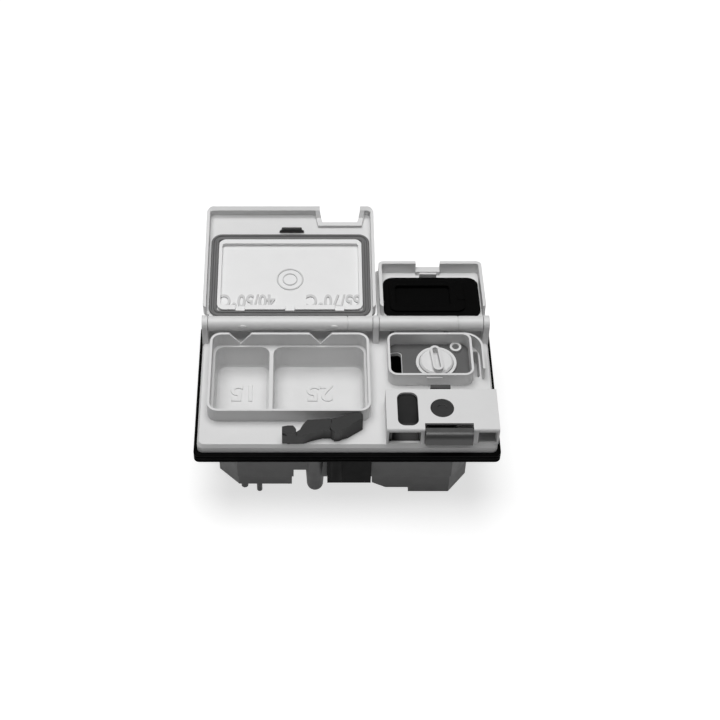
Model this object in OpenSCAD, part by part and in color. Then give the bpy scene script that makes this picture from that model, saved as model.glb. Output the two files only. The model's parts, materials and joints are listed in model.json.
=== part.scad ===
// Dishwasher detergent dispenser, lids open, as it lies on a bench.
// Millimetres. The origin is the centre of the door seat, at the underside
// of the door gasket. X runs along the hinge, Y from the front edge to the
// hinge, Z up out of the door.

/* [Flange] */
// Width of the flange along the hinge
plate_w = 158; // [156:1:164]
// Depth of the flange, front edge to rear edge
plate_d = 88; // [86:1:94]
// Height of the flange rim
plate_t = 6; // [5:0.5:7]
// Thickness of the flange skin inside its rim
plate_skin = 2.5; // [2:0.25:3]
// Width of the flange rim
rim_w = 3.5; // [2.5:0.25:4]
// Bevel along the top edge of the flange
plate_bevel = 2; // [1:0.25:2.5]
// Corner radius of the flange
plate_r = 3; // [2:0.5:4]

/* [Door gasket] */
// Thickness of the door gasket
gasket_t = 6; // [4:0.5:8]
// How far the gasket stands out past the flange
gasket_lip = 2; // [1.5:0.1:2.2]
// Width of the gasket band
gasket_band = 4; // [3.5:0.1:4.2]

/* [Detergent cup] */
// From the left edge of the flange to the cup wall
cup_margin = 4.8; // [4.6:0.1:5.4]
// From the front edge of the flange to the cup wall
cup_front = 16.2; // [16:0.1:18]
// Outer depth of the cup wall, front to rear
cup_d = 55.3; // [53:0.1:55.5]
// Height of the cup wall over the flange
cup_h = 9; // [8:0.25:9]
// Thickness of the cup wall
cup_wall = 1.4; // [1.2:0.1:1.8]
// Ledge between the cup wall and the compartments
cup_ledge = 1.3; // [1:0.1:2]
// Corner radius of the cup wall
cup_r = 6; // [5:0.5:8]
// Depth of the compartments below the flange top
pocket_depth = 16.9; // [12:0.1:18]
// Width of the small compartment
pocket_small_w = 29.7; // [20:0.5:40]
// Rib between the compartments
divider_t = 2.2; // [1.5:0.1:3]
// Corner radius of the compartments in plan
pocket_r = 5; // [3:0.5:6]
// Fillet round the compartment floors
pocket_fillet = 2; // [1:0.5:3]
// Wall round the compartments below the flange
pocket_wall = 1.5; // [1.2:0.1:2]
// Width of a pouring notch at the rim
notch_w = 12.4; // [8:0.2:14]
// Depth of a pouring notch
notch_depth = 8; // [5:0.2:8.5]
// From the left cup wall to the middle of the left pouring notch, and from
// the right cup wall to the middle of the right one
notch_from_wall = [16.4, 26.4];

/* [Rinse aid well] */
// Gap between the middle hinge ear and the well wall
well_gap = 4.4; // [4.2:0.1:5]
// Outer width of the well wall
well_w = 46.1; // [44:0.1:46.5]
// Outer depth of the well wall
well_d = 30.6; // [29:0.1:31]
// Thickness of the well wall
well_wall = 1.3; // [1.1:0.1:1.6]
// Corner radius of the well wall
well_r = 5; // [4:0.5:7]
// Width of the filling hole
fill_w = 6.3; // [5:0.1:7]
// Length of the filling hole
fill_d = 16; // [12:0.5:18]
// How far the overflow wing stands out to the right of the well
wing_out = 6.1; // [5.5:0.1:6.2]
// From the overflow wing to the right edge of the flange
wing_margin = 4.1; // [4:0.1:5]
// Thickness of the overflow wing
wing_t = 1.2; // [1:0.1:1.5]
// Length of the overflow wing, rear to front
wing_d = 26; // [20:0.5:27]
// Width of the overflow slot
slot_w = 3; // [2:0.25:3.5]
// Depth of the overflow pocket under the slot
slot_depth = 8; // [5:0.5:9]
// Thickness of the grey plate on the well floor
well_plate_t = 0.6; // [0.4:0.1:0.8]

/* [Hinge] */
// Hinge axis behind the front edge of the flange
hinge_from_front = 77; // [77:0.1:78]
// Hinge axis over the flange top
hinge_h = 10.3; // [10.3:0.1:11]
// Diameter of the hinge barrels
barrel_d = 8.4; // [8:0.1:8.6]
// Diameter of the hinge pins
hinge_pin_d = 3; // [2:0.1:3.4]
// Running clearance round the hinge pins
hinge_fit = 0.06; // [0.02:0.01:0.1]
// Thickness of a hinge ear
ear_t = 3.2; // [2.8:0.1:3.4]
// Radius of the top of a hinge ear
ear_r = 4.5; // [4:0.1:4.6]
// Side gap between an ear and a barrel
ear_gap = 0.3; // [0.2:0.05:0.5]
// Gap between the cup wall and the middle ear
ear_from_cup = 2.4; // [2.2:0.1:3]
// Wire of the lid springs
lid_wire = 0.7; // [0.5:0.05:0.8]
// Length of the spring pocket in a barrel
spring_pocket = 12; // [9:0.5:14]

/* [Detergent lid] */
// How far the lid reaches past the front wall of the cup
lid_reach = 17.8; // [17.6:0.1:19]
// Tilt of the open lid over the horizontal, in degrees
lid_tilt = 7; // [0:1:12]
// Thickness of the lid skin
lid_skin = 2; // [1.5:0.1:2.4]
// Height of the lid walls over the lid floor
lid_wall_h = 6.2; // [5:0.1:6.5]
// Thickness of the lid side walls
lid_wall = 1.8; // [1.5:0.1:2]
// Thickness of the lid tip wall
lid_tip_wall = 2.2; // [1.8:0.1:2.4]
// How much lower the tip wall is on its inside
tip_slope = 1.2; // [0.8:0.1:3]
// Width of the thumb notch at the tip
thumb_w = 23.1; // [20:0.1:24]
// Width of the thumb notch at its bottom
thumb_floor_w = 19.8; // [16:0.1:20]
// Depth of the thumb notch
thumb_d = 8.2; // [6:0.1:8.4]
// Height of the rib round the thumb notch
thumb_rib_h = 1.8; // [1:0.1:1.9]
// Width of the rib round the thumb notch
thumb_rib_w = 2.6; // [2:0.1:3.2]
// Width of the lid seal
seal_w = 4.4; // [3.6:0.1:4.5]
// Thickness of the lid seal over the lid floor
seal_t = 1.2; // [1:0.1:1.2]
// Rib of the seal frame
frame_rib = 2.2; // [1.6:0.1:2.8]
// Height of the seal frame over the lid floor
frame_h = 1.8; // [1.4:0.1:2]
// Thickness of the panel in the seal frame
frame_floor = 0.6; // [0.5:0.1:0.8]
// Depth of the recess of that panel in the lid
frame_drop = 1; // [0.6:0.1:1.2]
// Width of the lid catch at its root
catch_w = 14; // [10:0.5:15]

/* [Rinse aid lid] */
// Length of the small lid from the hinge axis
small_len = 44.6; // [43.5:0.1:45.2]
// Tilt of the open small lid below the horizontal, in degrees
small_tilt = 4.5; // [0:0.5:6]
// Gap between the two lids
lid_gap = 0.7; // [0.5:0.1:1.4]
// From the right edge of the flange to the small lid
small_margin = 1.4; // [1.2:0.1:1.6]
// Height of the small lid's walls over its floor
small_wall_h = 7; // [6:0.1:7.4]
// Width of the notch in the small lid's tip
small_notch_w = 13.7; // [12:0.1:16]
// Middle of that notch from the right edge of the flange
small_notch_at = 31.7; // [30:0.1:33]

/* [Latch lever] */
// Lever pivot from the right edge of the flange, and from its front edge
lever_pos = [84.5, 6.5];
// Height of the lever arm over the flange
lever_arm_h = 7; // [5:0.1:7.2]
// Height of the thumb pad over the flange
lever_pad_h = 8.3; // [7.5:0.1:8.4]
// Gap under the lever
lever_gap = 0.4; // [0.3:0.1:1.2]
// Diameter of the lever spindle
spindle_d = 5; // [4:0.1:5.4]
// Length of the crank on the spindle
crank_r = 13.5; // [12:0.1:13.6]

/* [Latch cover and button] */
// Width of the cover, which ends at the right edge of the flange
cover_w = 58.7; // [58:0.1:59.2]
// Front of the cover behind the front edge of the flange
cover_front = 1.1; // [1:0.1:2]
// Depth of the cover
cover_d = 28; // [26:0.1:28.4]
// Height of the cover over the flange
cover_h = 11.9; // [11.5:0.1:12.2]
// Thickness of the cover
cover_wall = 1.5; // [1.2:0.1:1.7]
// Width of the release button
button_w = 24.7; // [22:0.1:25]
// Middle of the release button from the right edge of the flange
button_at = 26.2; // [26:0.1:27]
// How far the button stands out past the front edge of the flange
button_out = 2.7; // [2:0.1:3]
// Diameter of the level window
window_d = 12.4; // [11:0.1:12.6]
// Level window from the right edge of the flange, and from its front edge
window_pos = [29.3, 15.7];

/* [Dosing dial] */
// Dial centre from the right edge of the flange, and from its front edge
dial_pos = [29.6, 56.4];
// Diameter of the dial
dial_d = 18.4; // [17:0.1:18.6]
// Height of the dial over the flange
dial_h = 3; // [2:0.1:3.5]
// Height of the dial grip over the dial
grip_h = 2.5; // [1.5:0.1:2.8]
// Length of the dial grip
grip_l = 17.6; // [14:0.1:17.8]
// Width of the dial grip
grip_w = 5.6; // [4:0.1:6]
// Turn of the dial at rest, in degrees
dial_turn = 6; // [0:1:20]

/* [Back of the door] */
// Depth of the rinse aid tank below the door seat
tank_depth = 42; // [40:0.5:46]
// Wall of the tank and of the cases
case_wall = 1.8; // [1.5:0.1:2.2]
// Depth of the mechanism case below the door seat
case_depth = 35; // [34:0.5:36]
// Width of the tank
tank_w = 54.6; // [52:0.1:55]
// Width of the mechanism case
case_w = 42; // [41:0.1:42]
// How far the lower part of the tank and of the case is set back
back_step = 1; // [0.6:0.1:1.2]
// Outer diameter of the coil
coil_d = 17; // [14:0.5:17]
// Diameter of the armature
armature_d = 6.8; // [5:0.1:7]

/* [Hidden] */
$fn = 48;

// Overcut of a cutting shape
eps = 0.5;
// Gap between pieces that move past each other
run_gap = 0.3;

// Planes and edges of the flange
z_top = gasket_t + plate_t;
z_skin = z_top - plate_skin;
x_left = -plate_w / 2;
x_right = plate_w / 2;
y_front = -plate_d / 2;
hinge_y = y_front + hinge_from_front;
hinge_z = z_top + hinge_h;

// Detergent cup
cup_x0 = x_left + cup_margin;
cup_x1 = x_right - wing_margin - wing_out - well_w - well_gap - ear_t - ear_from_cup;
cup_y0 = y_front + cup_front;
cup_y1 = cup_y0 + cup_d;
rim_z = z_top + cup_h;
pocket_in = cup_wall + cup_ledge;
pocket_x0 = cup_x0 + pocket_in;
pocket_x1 = pocket_x0 + pocket_small_w;
pocket_x2 = pocket_x1 + divider_t;
pocket_x3 = cup_x1 - pocket_in;
pocket_y0 = cup_y0 + pocket_in;
pocket_y1 = cup_y1 - pocket_in;
pocket_z = z_top - pocket_depth;
shell_z = pocket_z - pocket_wall;

// Hinge ears and barrels
ear_x = [x_left, cup_x1 + ear_from_cup, x_right - ear_t];
barrel_x = [[x_left + ear_t + ear_gap, ear_x[1] - ear_gap],
            [ear_x[1] + ear_t + ear_gap, ear_x[2] - ear_gap]];
barrel_r = barrel_d / 2;
pin_r = hinge_pin_d / 2;
pin_bore_r = pin_r + hinge_fit;
// Front and rear foot of an ear from the hinge axis
ear_foot = [-6, 7];
spring_bore_r = barrel_r - 0.8;
coil_r = spring_bore_r - 0.25 - lid_wire / 2;

// Rinse aid well
well_x0 = ear_x[1] + ear_t + well_gap;
well_x1 = well_x0 + well_w;
well_y1 = cup_y1;
well_y0 = well_y1 - well_d;
wing_x1 = well_x1 + wing_out;
wing_r = 10;

// Lid sections, as heights over the plane through the hinge axis
lid_floor = -0.2;
lid_len = hinge_y - cup_y0 + lid_reach;
lid_back = lid_floor - lid_skin;
lid_top = lid_floor + lid_wall_h;
small_top = lid_floor + small_wall_h;
// Where the lid walls start from the hinge axis
lid_root = 6.3;
lid_x0 = x_left + 0.3;
lid_x1 = ear_x[1] + 1.8;
small_x0 = lid_x1 + lid_gap;
small_x1 = x_right - small_margin;
// Step of the small lid's left wall in from its edge
small_step = 1.6;
small_notch_x = x_right - small_notch_at;
// Seal loop round the cup wall, seen from the lid
seal_off = (seal_w - cup_wall) / 2;
seal_l0 = max(hinge_y - cup_y1 - seal_off, barrel_r + 0.4);
seal_l1 = hinge_y - cup_y0 + seal_off;
seal_in_l0 = hinge_y - cup_y1 - seal_off + seal_w;
seal_in_l1 = seal_l1 - seal_w;
frame_gap = 0.1;
frame_side = frame_rib - 1.1;
frame_x0 = cup_x0 - seal_off + seal_w + frame_gap;
frame_x1 = cup_x1 + seal_off - seal_w - frame_gap;
frame_l0 = seal_in_l0 + frame_gap;
frame_l1 = seal_in_l1 - frame_gap;
lever_x = x_right - lever_pos[0];
thumb_x = lever_x + 3.15;
thumb_l = lid_len - thumb_d;
// Catch of the detergent lid
catch_x = lever_x - 24.5;
catch_l = seal_l1 + 1.6;
catch_t = 0.8;
catch_lip = 1;
catch_h = [2.2, 3.1];
catch_top_w = 10;
catch_foot_h = 1;

// Latch lever
lever_y = y_front + lever_pos[1];
spindle_r = spindle_d / 2;
boss_r = 3.7;
tube_r = 4.2;
link_z = -17;
crank_t = 2.5;
hub_r = 3;
crank_pin_r = 1.5;
link_t = 2.6;
link_w = 3.2;
eye_r = 3.4;
crank_z = link_z - link_t / 2 - 0.3 - crank_t;
// Outlines of the lever round its pivot
arm_outline = [[-28.7, -5.2], [-25.7, -5.6], [-17.4, -5.4], [-12.9, -3.5],
    [-7.4, -2], [-2.7, -2], [3, 5], [2.7, 6.5], [-15.4, 5.2], [-17.8, 2.1],
    [-19.4, -1.4], [-21.3, -2.9], [-22.6, -3.2], [-28.7, -3.4]];
head_outline = [[-28.7, -4.2], [-25.7, -5.6], [-21.5, -5.5], [-21.3, -2.9],
    [-22.9, -0.5], [-25.6, -0.45], [-28.7, -1.2]];
pad_outline = [[-1.5, -4], [5.8, -1.7], [9.8, 1.3], [13.7, 3.5], [13.7, 7.9],
    [12.7, 9.1], [8, 9], [2.7, 6.5], [-3, 5]];
// Head of the lever: underside of its lip and top, over the flange
head_h = [8.4, 9.4];
// Lean of the thumb face, in degrees
pad_lean = 8;

// Latch cover and release button
cover_x1 = x_right;
cover_x0 = cover_x1 - cover_w;
cover_y0 = y_front + cover_front;
cover_y1 = cover_y0 + cover_d;
cover_z = z_top + cover_h;
cover_chamfer = 0.6;
button_x = x_right - button_at;
button_x0 = button_x - button_w / 2;
button_x1 = button_x + button_w / 2;
button_y0 = y_front - button_out;
button_y1 = button_y0 + 5.8;
button_z0 = z_top + 3.6;
button_z1 = z_top + 11;
window_x = x_right - window_pos[0];
window_y = y_front + window_pos[1];
rocker_z = z_top + 6;
rocker_pin_r = 1.5;
rocker_w = 15;
rocker_t = 2;
post_t = 2.5;
post_x = rocker_w / 2 + run_gap + post_t / 2;
// Arm of the rocker, and the nose that stands up at its end
arm_z1 = z_top + 7.2;
nose_w = 10.6;
nose_t = 2.1;
nose_z1 = z_top + 11.2;
nose_y1 = hinge_y - small_len - run_gap;
oblong_x = [cover_x0 + 5.9, cover_x0 + 16.8];
oblong_y = [4, 26.3];
left_window_x = [cover_x0 + 1.1, cover_x0 + 17.8];
right_window_x = [x_right - 10.9, x_right - 1.1];
window_z = [z_top + 0.8, z_top + 9.7];
prism_r = 2.4;
tube_out_r = 3.2;

// Dosing dial and valve
dial_x = x_right - dial_pos[0];
dial_y = y_front + dial_pos[1];
dial_r = dial_d / 2;
collar_r = dial_r + 1.9;
dial_stem_r = 6.6;
valve_x = dial_x + 11.2;
valve_y = y_front + 67.4;
valve_bore_r = 1.9;
valve_boss_r = 3.2;
valve_stem_r = 1.1;
valve_head_r = 3;
valve_tube_r = 4.5;
valve_seal_t = 1;
valve_floor_z = z_skin - 15;

// Back of the door
tank_x0 = cup_x1 + 0.7;
tank_x1 = tank_x0 + tank_w;
tank_y0 = y_front + 9;
tank_y1 = -y_front - 14;
tank_z = -tank_depth;
// Heights of the tank's floor from the left to its foot, and of the step
tank_floor_z = [tank_z + 9.2, tank_z + 3.8];
tank_floor_x = [tank_x0 + 8.6, tank_x0 + 21.2];
step_z = -27;
tank_seal_t = 1.5;
case_x0 = x_left + 8.5;
case_x1 = case_x0 + case_w;
case_y0 = y_front + 9;
case_y1 = -y_front - 14;
case_z = -case_depth;
case_top = shell_z - 0.1;
peg_x = lever_x - 11.3;
peg_y = y_front + 12.5;
peg_r = 5.9;
peg_end_r = 4.5;
web_z = [-21, -27];
box_x0 = lever_x - 4.7;
box_x1 = tank_x0 - 0.02;
box_y0 = y_front + 4;
box_y1 = y_front + 31;
box_top = -0.4;
box_z = -26;
coil_x = case_x0 + 26.2;
coil_y = lever_y + crank_r;
coil_half = 10.5;
// Terminals: heights, width, thickness, and how far they stand out
term_z = [link_z + 3, link_z - 7];
term_w = 6.3;
term_t = 0.8;
term_out = 6.2;
term_y = coil_y + 7.3;
coil_flange_t = 1.5;
core_r = armature_d / 2;
bobbin_r = core_r + 1.2;
screw_r = 1.3;
screw_head_r = 2.8;
screw_head_h = 1.8;
screw_l = 9;
boss_out_r = 3.2;
tab_t = 2.2;
// Screws: place, and height of the face above the head
case_tab_z = case_top - tab_t;
tank_tab_z = z_skin - tank_seal_t - tab_t;
box_tab_z = box_top - case_wall;
screws = [[case_x0 + 10.5, case_y1 + 4.5, case_tab_z], [case_x0 + 34.5, case_y1 + 4.5, case_tab_z],
    [case_x0 + 20.5, case_y0 + 4, case_tab_z], [tank_x0 + 12.6, tank_y1 + 5, tank_tab_z],
    [tank_x0 + 42.6, tank_y1 + 5, tank_tab_z], [lever_x + 12, lever_y + 4, box_tab_z]];

// Rectangle with true round corners
module rrect(x0, y0, x1, y1, r) {
    translate([x0 + r, y0])
        square([x1 - x0 - 2 * r, y1 - y0]);
    translate([x0, y0 + r])
        square([x1 - x0, y1 - y0 - 2 * r]);
    for (x = [x0 + r, x1 - r], y = [y0 + r, y1 - r])
        translate([x, y])
            circle(r);
}

// Upright slab with a rounded outline
module slab(x0, y0, x1, y1, r, z0, z1) {
    translate([0, 0, z0])
        linear_extrude(z1 - z0)
            rrect(x0, y0, x1, y1, r);
}

// Box from its two corners
module block(a, b) {
    translate(a)
        cube(b - a);
}

// Cylinder along X from x0 to x1 round a point in the YZ plane
module rod_x(x0, x1, y, z, r) {
    translate([x0, y, z])
        rotate([0, 90, 0])
            cylinder(h = x1 - x0, r = r);
}

// Profile in the YZ plane, drawn out from x0 to x1
module along_x(x0, x1) {
    translate([x0, 0, 0])
        rotate([90, 0, 90])
            linear_extrude(x1 - x0)
                children();
}

// Places of the lids: Y is then the distance from the hinge axis
module in_lid(tilt) {
    translate([0, hinge_y, hinge_z])
        rotate([tilt, 0, 0])
            children();
}

// Wire coil along Z from the origin, as one closed tube
function coil_point(r, pitch, a) = [r * cos(a), r * sin(a), pitch * a / 360];

module wire_coil(r, wire, turns, length, steps = 16, sides = 6) {
    pitch = length / turns;
    count = turns * steps;
    rise = atan2(pitch, 2 * PI * r);
    points = [for (i = [0:count]) let (a = 360 * i / steps, c = coil_point(r, pitch, a))
        for (k = [0:sides - 1]) let (b = 360 * k / sides)
            c + wire * cos(b) * [cos(a), sin(a), 0]
              + wire * sin(b) * [sin(a) * sin(rise), -cos(a) * sin(rise), cos(rise)]];
    sides_faces = [for (i = [0:count - 1], k = [0:sides - 1])
        let (p = i * sides, n = (k + 1) % sides)
        [[p + k, p + sides + k, p + n], [p + n, p + sides + k, p + sides + n]]];
    walls = [for (pair = sides_faces) for (face = pair) face];
    cap_a = [for (k = [0:sides - 1]) k];
    cap_b = [for (k = [sides - 1:-1:0]) count * sides + k];
    polyhedron(points, concat(walls, [cap_a, cap_b]), convexity = 8);
}

// Compartment, and the soft edge round its floor in two steps
module pocket(x0, x1) {
    slab(x0, pocket_y0, x1, pocket_y1, pocket_r, pocket_z + pocket_fillet, z_top + eps);
    hull() {
        for (step = [0, 45, 90]) {
            inset = pocket_fillet * (1 - sin(step));
            rise = pocket_fillet * (1 - cos(step));
            slab(x0 + inset, pocket_y0 + inset, x1 - inset, pocket_y1 - inset, pocket_r - inset,
                pocket_z + rise, pocket_z + rise + 0.01, $fn = 32);
        }
    }
}

module hinge_ear(x) {
    along_x(x, x + ear_t) {
        translate([hinge_y, hinge_z])
            circle(ear_r);
        polygon([[hinge_y + ear_foot[0], z_skin], [hinge_y + ear_foot[1], z_skin],
            [hinge_y + ear_r * cos(10), hinge_z + ear_r * sin(10)],
            [hinge_y - ear_r * cos(10), hinge_z + ear_r * sin(10)]]);
    }
}

// Flange with a bevelled top edge and a hollow underside
module flange() {
    difference() {
        hull() {
            slab(x_left, y_front, x_right, -y_front, plate_r, gasket_t, z_top - plate_bevel, $fn = 32);
            slab(x_left + plate_bevel / 2, y_front + plate_bevel / 2, x_right - plate_bevel / 2,
                -y_front - plate_bevel / 2, plate_r, z_top - eps, z_top, $fn = 32);
        }
        slab(x_left + rim_w, y_front + rim_w, x_right - rim_w, -y_front - rim_w, plate_r,
            gasket_t - eps, z_skin);
    }
}

// Posts that carry the release button
module rocker_posts() {
    for (side = [-1, 1]) {
        x = window_x + side * post_x;
        block([x - post_t / 2, window_y - 3.5, z_top - eps], [x + post_t / 2, window_y + 3.5, rocker_z + 3]);
    }
}

// Overflow slot of the wing; grow gives the pocket round it
module overflow(grow, z0, z1) {
    slab(well_x1 + 1 - grow, well_y1 - 24.5 - grow, well_x1 + 1 + slot_w + grow, well_y1 - 6 + grow,
        1.2 + grow, z0, z1);
}

module front_housing() {
    color("gainsboro")
    difference() {
        union() {
            flange();
            slab(pocket_x0 - pocket_wall, pocket_y0 - pocket_wall, pocket_x3 + pocket_wall,
                pocket_y1 + pocket_wall, pocket_r + pocket_wall, shell_z, z_top);
            slab(cup_x0, cup_y0, cup_x1, cup_y1, cup_r, z_skin, rim_z);
            slab(well_x0, well_y0, well_x1, well_y1, well_r, z_skin, rim_z);
            intersection() {
                difference() {
                    slab(well_x0, well_y1 - wing_d - wing_r, wing_x1, well_y1, wing_r, z_skin, rim_z);
                    slab(well_x0 + wing_t, well_y1 - wing_d - wing_r + wing_t, wing_x1 - wing_t,
                        well_y1 - wing_t, wing_r - wing_t, z_top, rim_z + eps);
                }
                block([well_x1 - well_r, well_y1 - wing_d, z_skin], [wing_x1 + eps, well_y1 + eps, rim_z]);
            }
            for (x = ear_x)
                hinge_ear(x);
            translate([valve_x, valve_y, valve_floor_z])
                cylinder(h = z_skin - valve_floor_z + eps, r = valve_tube_r);
            translate([valve_x, valve_y, z_skin])
                cylinder(h = plate_skin + 2, r = valve_boss_r);
            translate([dial_x, dial_y, z_skin])
                cylinder(h = plate_skin + 1.6, r = collar_r);
            translate([dial_x, dial_y, z_skin - 8])
                cylinder(h = 8 + eps, r = dial_stem_r + 2);
            translate([lever_x, lever_y, box_top])
                cylinder(h = z_skin - box_top + eps, r = tube_r);
            translate([window_x, window_y, z_skin - 3])
                cylinder(h = rocker_z + 7.5 - z_skin, r = tube_out_r);
            rocker_posts();
            block([small_notch_x - 4.3, well_y0 - 0.7, z_top + 6.2],
                [small_notch_x + 4.3, well_y0 + eps, z_top + 7.4]);
            overflow(1.2, z_skin - slot_depth, z_skin + eps);
            for (s = screws)
                translate([s[0], s[1], s[2] + (s == screws[5] ? case_wall : tab_t)
                        + (s[2] == tank_tab_z ? tank_seal_t : 0)])
                    cylinder(h = z_skin + 0.4 - s[2] - (s == screws[5] ? case_wall : tab_t)
                        - (s[2] == tank_tab_z ? tank_seal_t : 0), r = boss_out_r);
        }
        slab(cup_x0 + cup_wall, cup_y0 + cup_wall, cup_x1 - cup_wall, cup_y1 - cup_wall,
            cup_r - cup_wall, z_top, rim_z + eps);
        pocket(pocket_x0, pocket_x1);
        pocket(pocket_x2, pocket_x3);
        for (x = [cup_x0 + notch_from_wall[0], cup_x1 - notch_from_wall[1]])
            translate([x, cup_y1 + eps, rim_z])
                rotate([90, 0, 0])
                    linear_extrude(cup_wall + 2 * eps)
                        polygon([[-notch_w / 2 - 1, 1], [notch_w / 2 + 1, 1], [notch_w / 2, 0],
                            [0, -notch_depth], [-notch_w / 2, 0]]);
        difference() {
            slab(well_x0 + well_wall, well_y0 + well_wall, well_x1 - well_wall, well_y1 - well_wall,
                well_r - well_wall, z_top, rim_z + eps);
            translate([valve_x, valve_y, z_top - eps])
                cylinder(h = 2 + eps, r = valve_boss_r);
            translate([dial_x, dial_y, z_top - eps])
                cylinder(h = 1.6 + eps, r = collar_r);
        }
        // Filling hole, overflow slot, dial seat and bores
        slab(well_x0 + well_wall + 0.2, dial_y - fill_d / 2, well_x0 + well_wall + 0.2 + fill_w,
            dial_y + fill_d / 2, 2, z_skin - eps, z_top + eps);
        overflow(0, z_skin - slot_depth + 1.2, z_top + eps);
        translate([dial_x, dial_y, z_top - 0.6])
            cylinder(h = 5, r = dial_r + 0.3);
        translate([dial_x, dial_y, z_skin - 8 - eps])
            cylinder(h = 20, r = dial_stem_r + 0.08);
        translate([valve_x, valve_y, z_skin - eps])
            cylinder(h = 10, r = valve_bore_r);
        translate([valve_x, valve_y, valve_floor_z + 1.5])
            cylinder(h = z_skin - valve_floor_z - 1.5, r = valve_tube_r - 1.2);
        translate([valve_x, valve_y, valve_floor_z - eps])
            cylinder(h = 3, r = valve_stem_r + 0.08);
        translate([lever_x, lever_y, box_top - eps])
            cylinder(h = 30, r = spindle_r + 0.08);
        translate([window_x, window_y, z_skin - 3 - eps])
            cylinder(h = 30, r = prism_r + 0.1);
        for (x = [window_x - post_x - post_t / 2, window_x + post_x - post_t / 2])
            rod_x(x - eps, x + post_t + eps, window_y, rocker_z, rocker_pin_r + 0.08);
        rod_x(x_left - eps, barrel_x[1][0] - 1, hinge_y, hinge_z, pin_r + 0.02);
        rod_x(barrel_x[1][0] - 1.8, x_right + eps, hinge_y, hinge_z, pin_r + 0.02);
        for (s = screws)
            translate([s[0], s[1], s[2] - eps])
                cylinder(h = screw_l + eps, r = screw_r + 0.02);
    }
}

// Plate on the well floor, with holes for the filling hole, the dial collar and the valve boss
module well_plate() {
    in = well_wall + 0.15;
    color("gray")
    difference() {
        slab(well_x0 + in, well_y0 + in, well_x1 - in, well_y1 - in, well_r - in,
            z_top, z_top + well_plate_t);
        slab(well_x0 + well_wall, dial_y - fill_d / 2 - 0.3, well_x0 + well_wall + fill_w + 0.5,
            dial_y + fill_d / 2 + 0.3, 2, z_top - eps, z_top + 2);
        translate([dial_x, dial_y, z_top - eps])
            cylinder(h = 3, r = collar_r + 0.1);
        translate([valve_x, valve_y, z_top - eps])
            cylinder(h = 3, r = valve_boss_r + 0.1);
    }
}

module door_gasket() {
    color("black")
    difference() {
        slab(x_left - gasket_lip, y_front - gasket_lip, x_right + gasket_lip,
            -y_front + gasket_lip, plate_r, 0, gasket_t);
        slab(x_left - gasket_lip + gasket_band, y_front - gasket_lip + gasket_band,
            x_right + gasket_lip - gasket_band, -y_front + gasket_lip - gasket_band, plate_r, -eps,
            gasket_t + eps);
        translate([lever_x, lever_y, -eps])
            cylinder(h = gasket_t + 2 * eps, r = tube_r + run_gap);
    }
}

// Barrel, neck and spring pocket of a lid, in the lid's own place
module lid_barrel(span, spring_side) {
    difference() {
        union() {
            rod_x(span[0], span[1], 0, 0, barrel_r);
            block([span[0], 0, lid_back], [span[1], lid_root + eps, lid_floor]);
        }
        rod_x(span[0] - eps, span[1] + eps, 0, 0, pin_bore_r);
        rod_x(spring_side > 0 ? span[1] - spring_pocket : span[0] - eps,
            spring_side > 0 ? span[1] + eps : span[0] + spring_pocket, 0, 0, spring_bore_r);
    }
}

// Slot line round a barrel, where the spring pocket is closed
module barrel_slot(x) {
    difference() {
        rod_x(x, x + 0.6, 0, 0, barrel_r + eps);
        rod_x(x - eps, x + 0.6 + eps, 0, 0, barrel_r - 0.4);
    }
}

// Notch in the tip of the detergent lid, in plan; grow widens it
module thumb_plan(grow) {
    polygon([[thumb_x - thumb_floor_w / 2 - grow, thumb_l - grow],
        [thumb_x + thumb_floor_w / 2 + grow, thumb_l - grow],
        [thumb_x + thumb_w / 2 + grow, lid_len - lid_tip_wall],
        [thumb_x + thumb_w / 2 + grow, lid_len + (grow > 0 ? 0 : eps)],
        [thumb_x - thumb_w / 2 - grow, lid_len + (grow > 0 ? 0 : eps)],
        [thumb_x - thumb_w / 2 - grow, lid_len - lid_tip_wall]]);
}

module detergent_lid() {
    color("gainsboro")
    in_lid(lid_tilt)
    difference() {
        union() {
            lid_barrel(barrel_x[0], 1);
            difference() {
                slab(lid_x0, lid_root, lid_x1, lid_len, 3.5, lid_back, lid_top);
                slab(lid_x0 + lid_wall, lid_root - 5, lid_x1 - lid_wall, lid_len - lid_tip_wall, 2,
                    lid_floor, lid_top + eps);
            }
            // Fillet at the foot of the tip wall
            along_x(lid_x0 + 1, lid_x1 - 1)
                polygon([[lid_len - lid_tip_wall - 1.6, lid_floor - 1], [lid_len - 1, lid_floor - 1],
                    [lid_len - 1, lid_floor + 1], [lid_len - lid_tip_wall, lid_floor + 1],
                    [lid_len - lid_tip_wall - 1.1, lid_floor + 0.3],
                    [lid_len - lid_tip_wall - 1.6, lid_floor]]);
            translate([0, 0, lid_back])
                linear_extrude(lid_skin + thumb_rib_h)
                    thumb_plan(thumb_rib_w);
            intersection() {
                translate([0, 0, lid_back])
                    linear_extrude(lid_wall_h + lid_skin)
                        thumb_plan(thumb_rib_w);
                along_x(lid_x0, lid_x1)
                    polygon([[lid_len - 5.1, lid_floor], [lid_len, lid_floor], [lid_len, lid_top],
                        [lid_len - lid_tip_wall, lid_top - tip_slope],
                        [lid_len - 5.1, lid_floor + thumb_rib_h]]);
            }
        }
        translate([0, 0, lid_back - eps])
            linear_extrude(20)
                thumb_plan(0);
        // Slope of the tip wall, and recess of the panel
        along_x(lid_x0 - eps, lid_x1 + eps)
            polygon([[lid_len - lid_tip_wall - 1, lid_top - tip_slope],
                [lid_len - lid_tip_wall, lid_top - tip_slope], [lid_len, lid_top],
                [lid_len, lid_top + 1], [lid_len - lid_tip_wall - 1, lid_top + 1]]);
        frame_recess(0.05, 0);
        barrel_slot(barrel_x[0][1] - spring_pocket - 2);
        block([lid_x0 - eps, lid_root - 1, lid_back - 1], [barrel_x[0][0] - 0.6, lid_root, lid_top]);
    }
}

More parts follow.
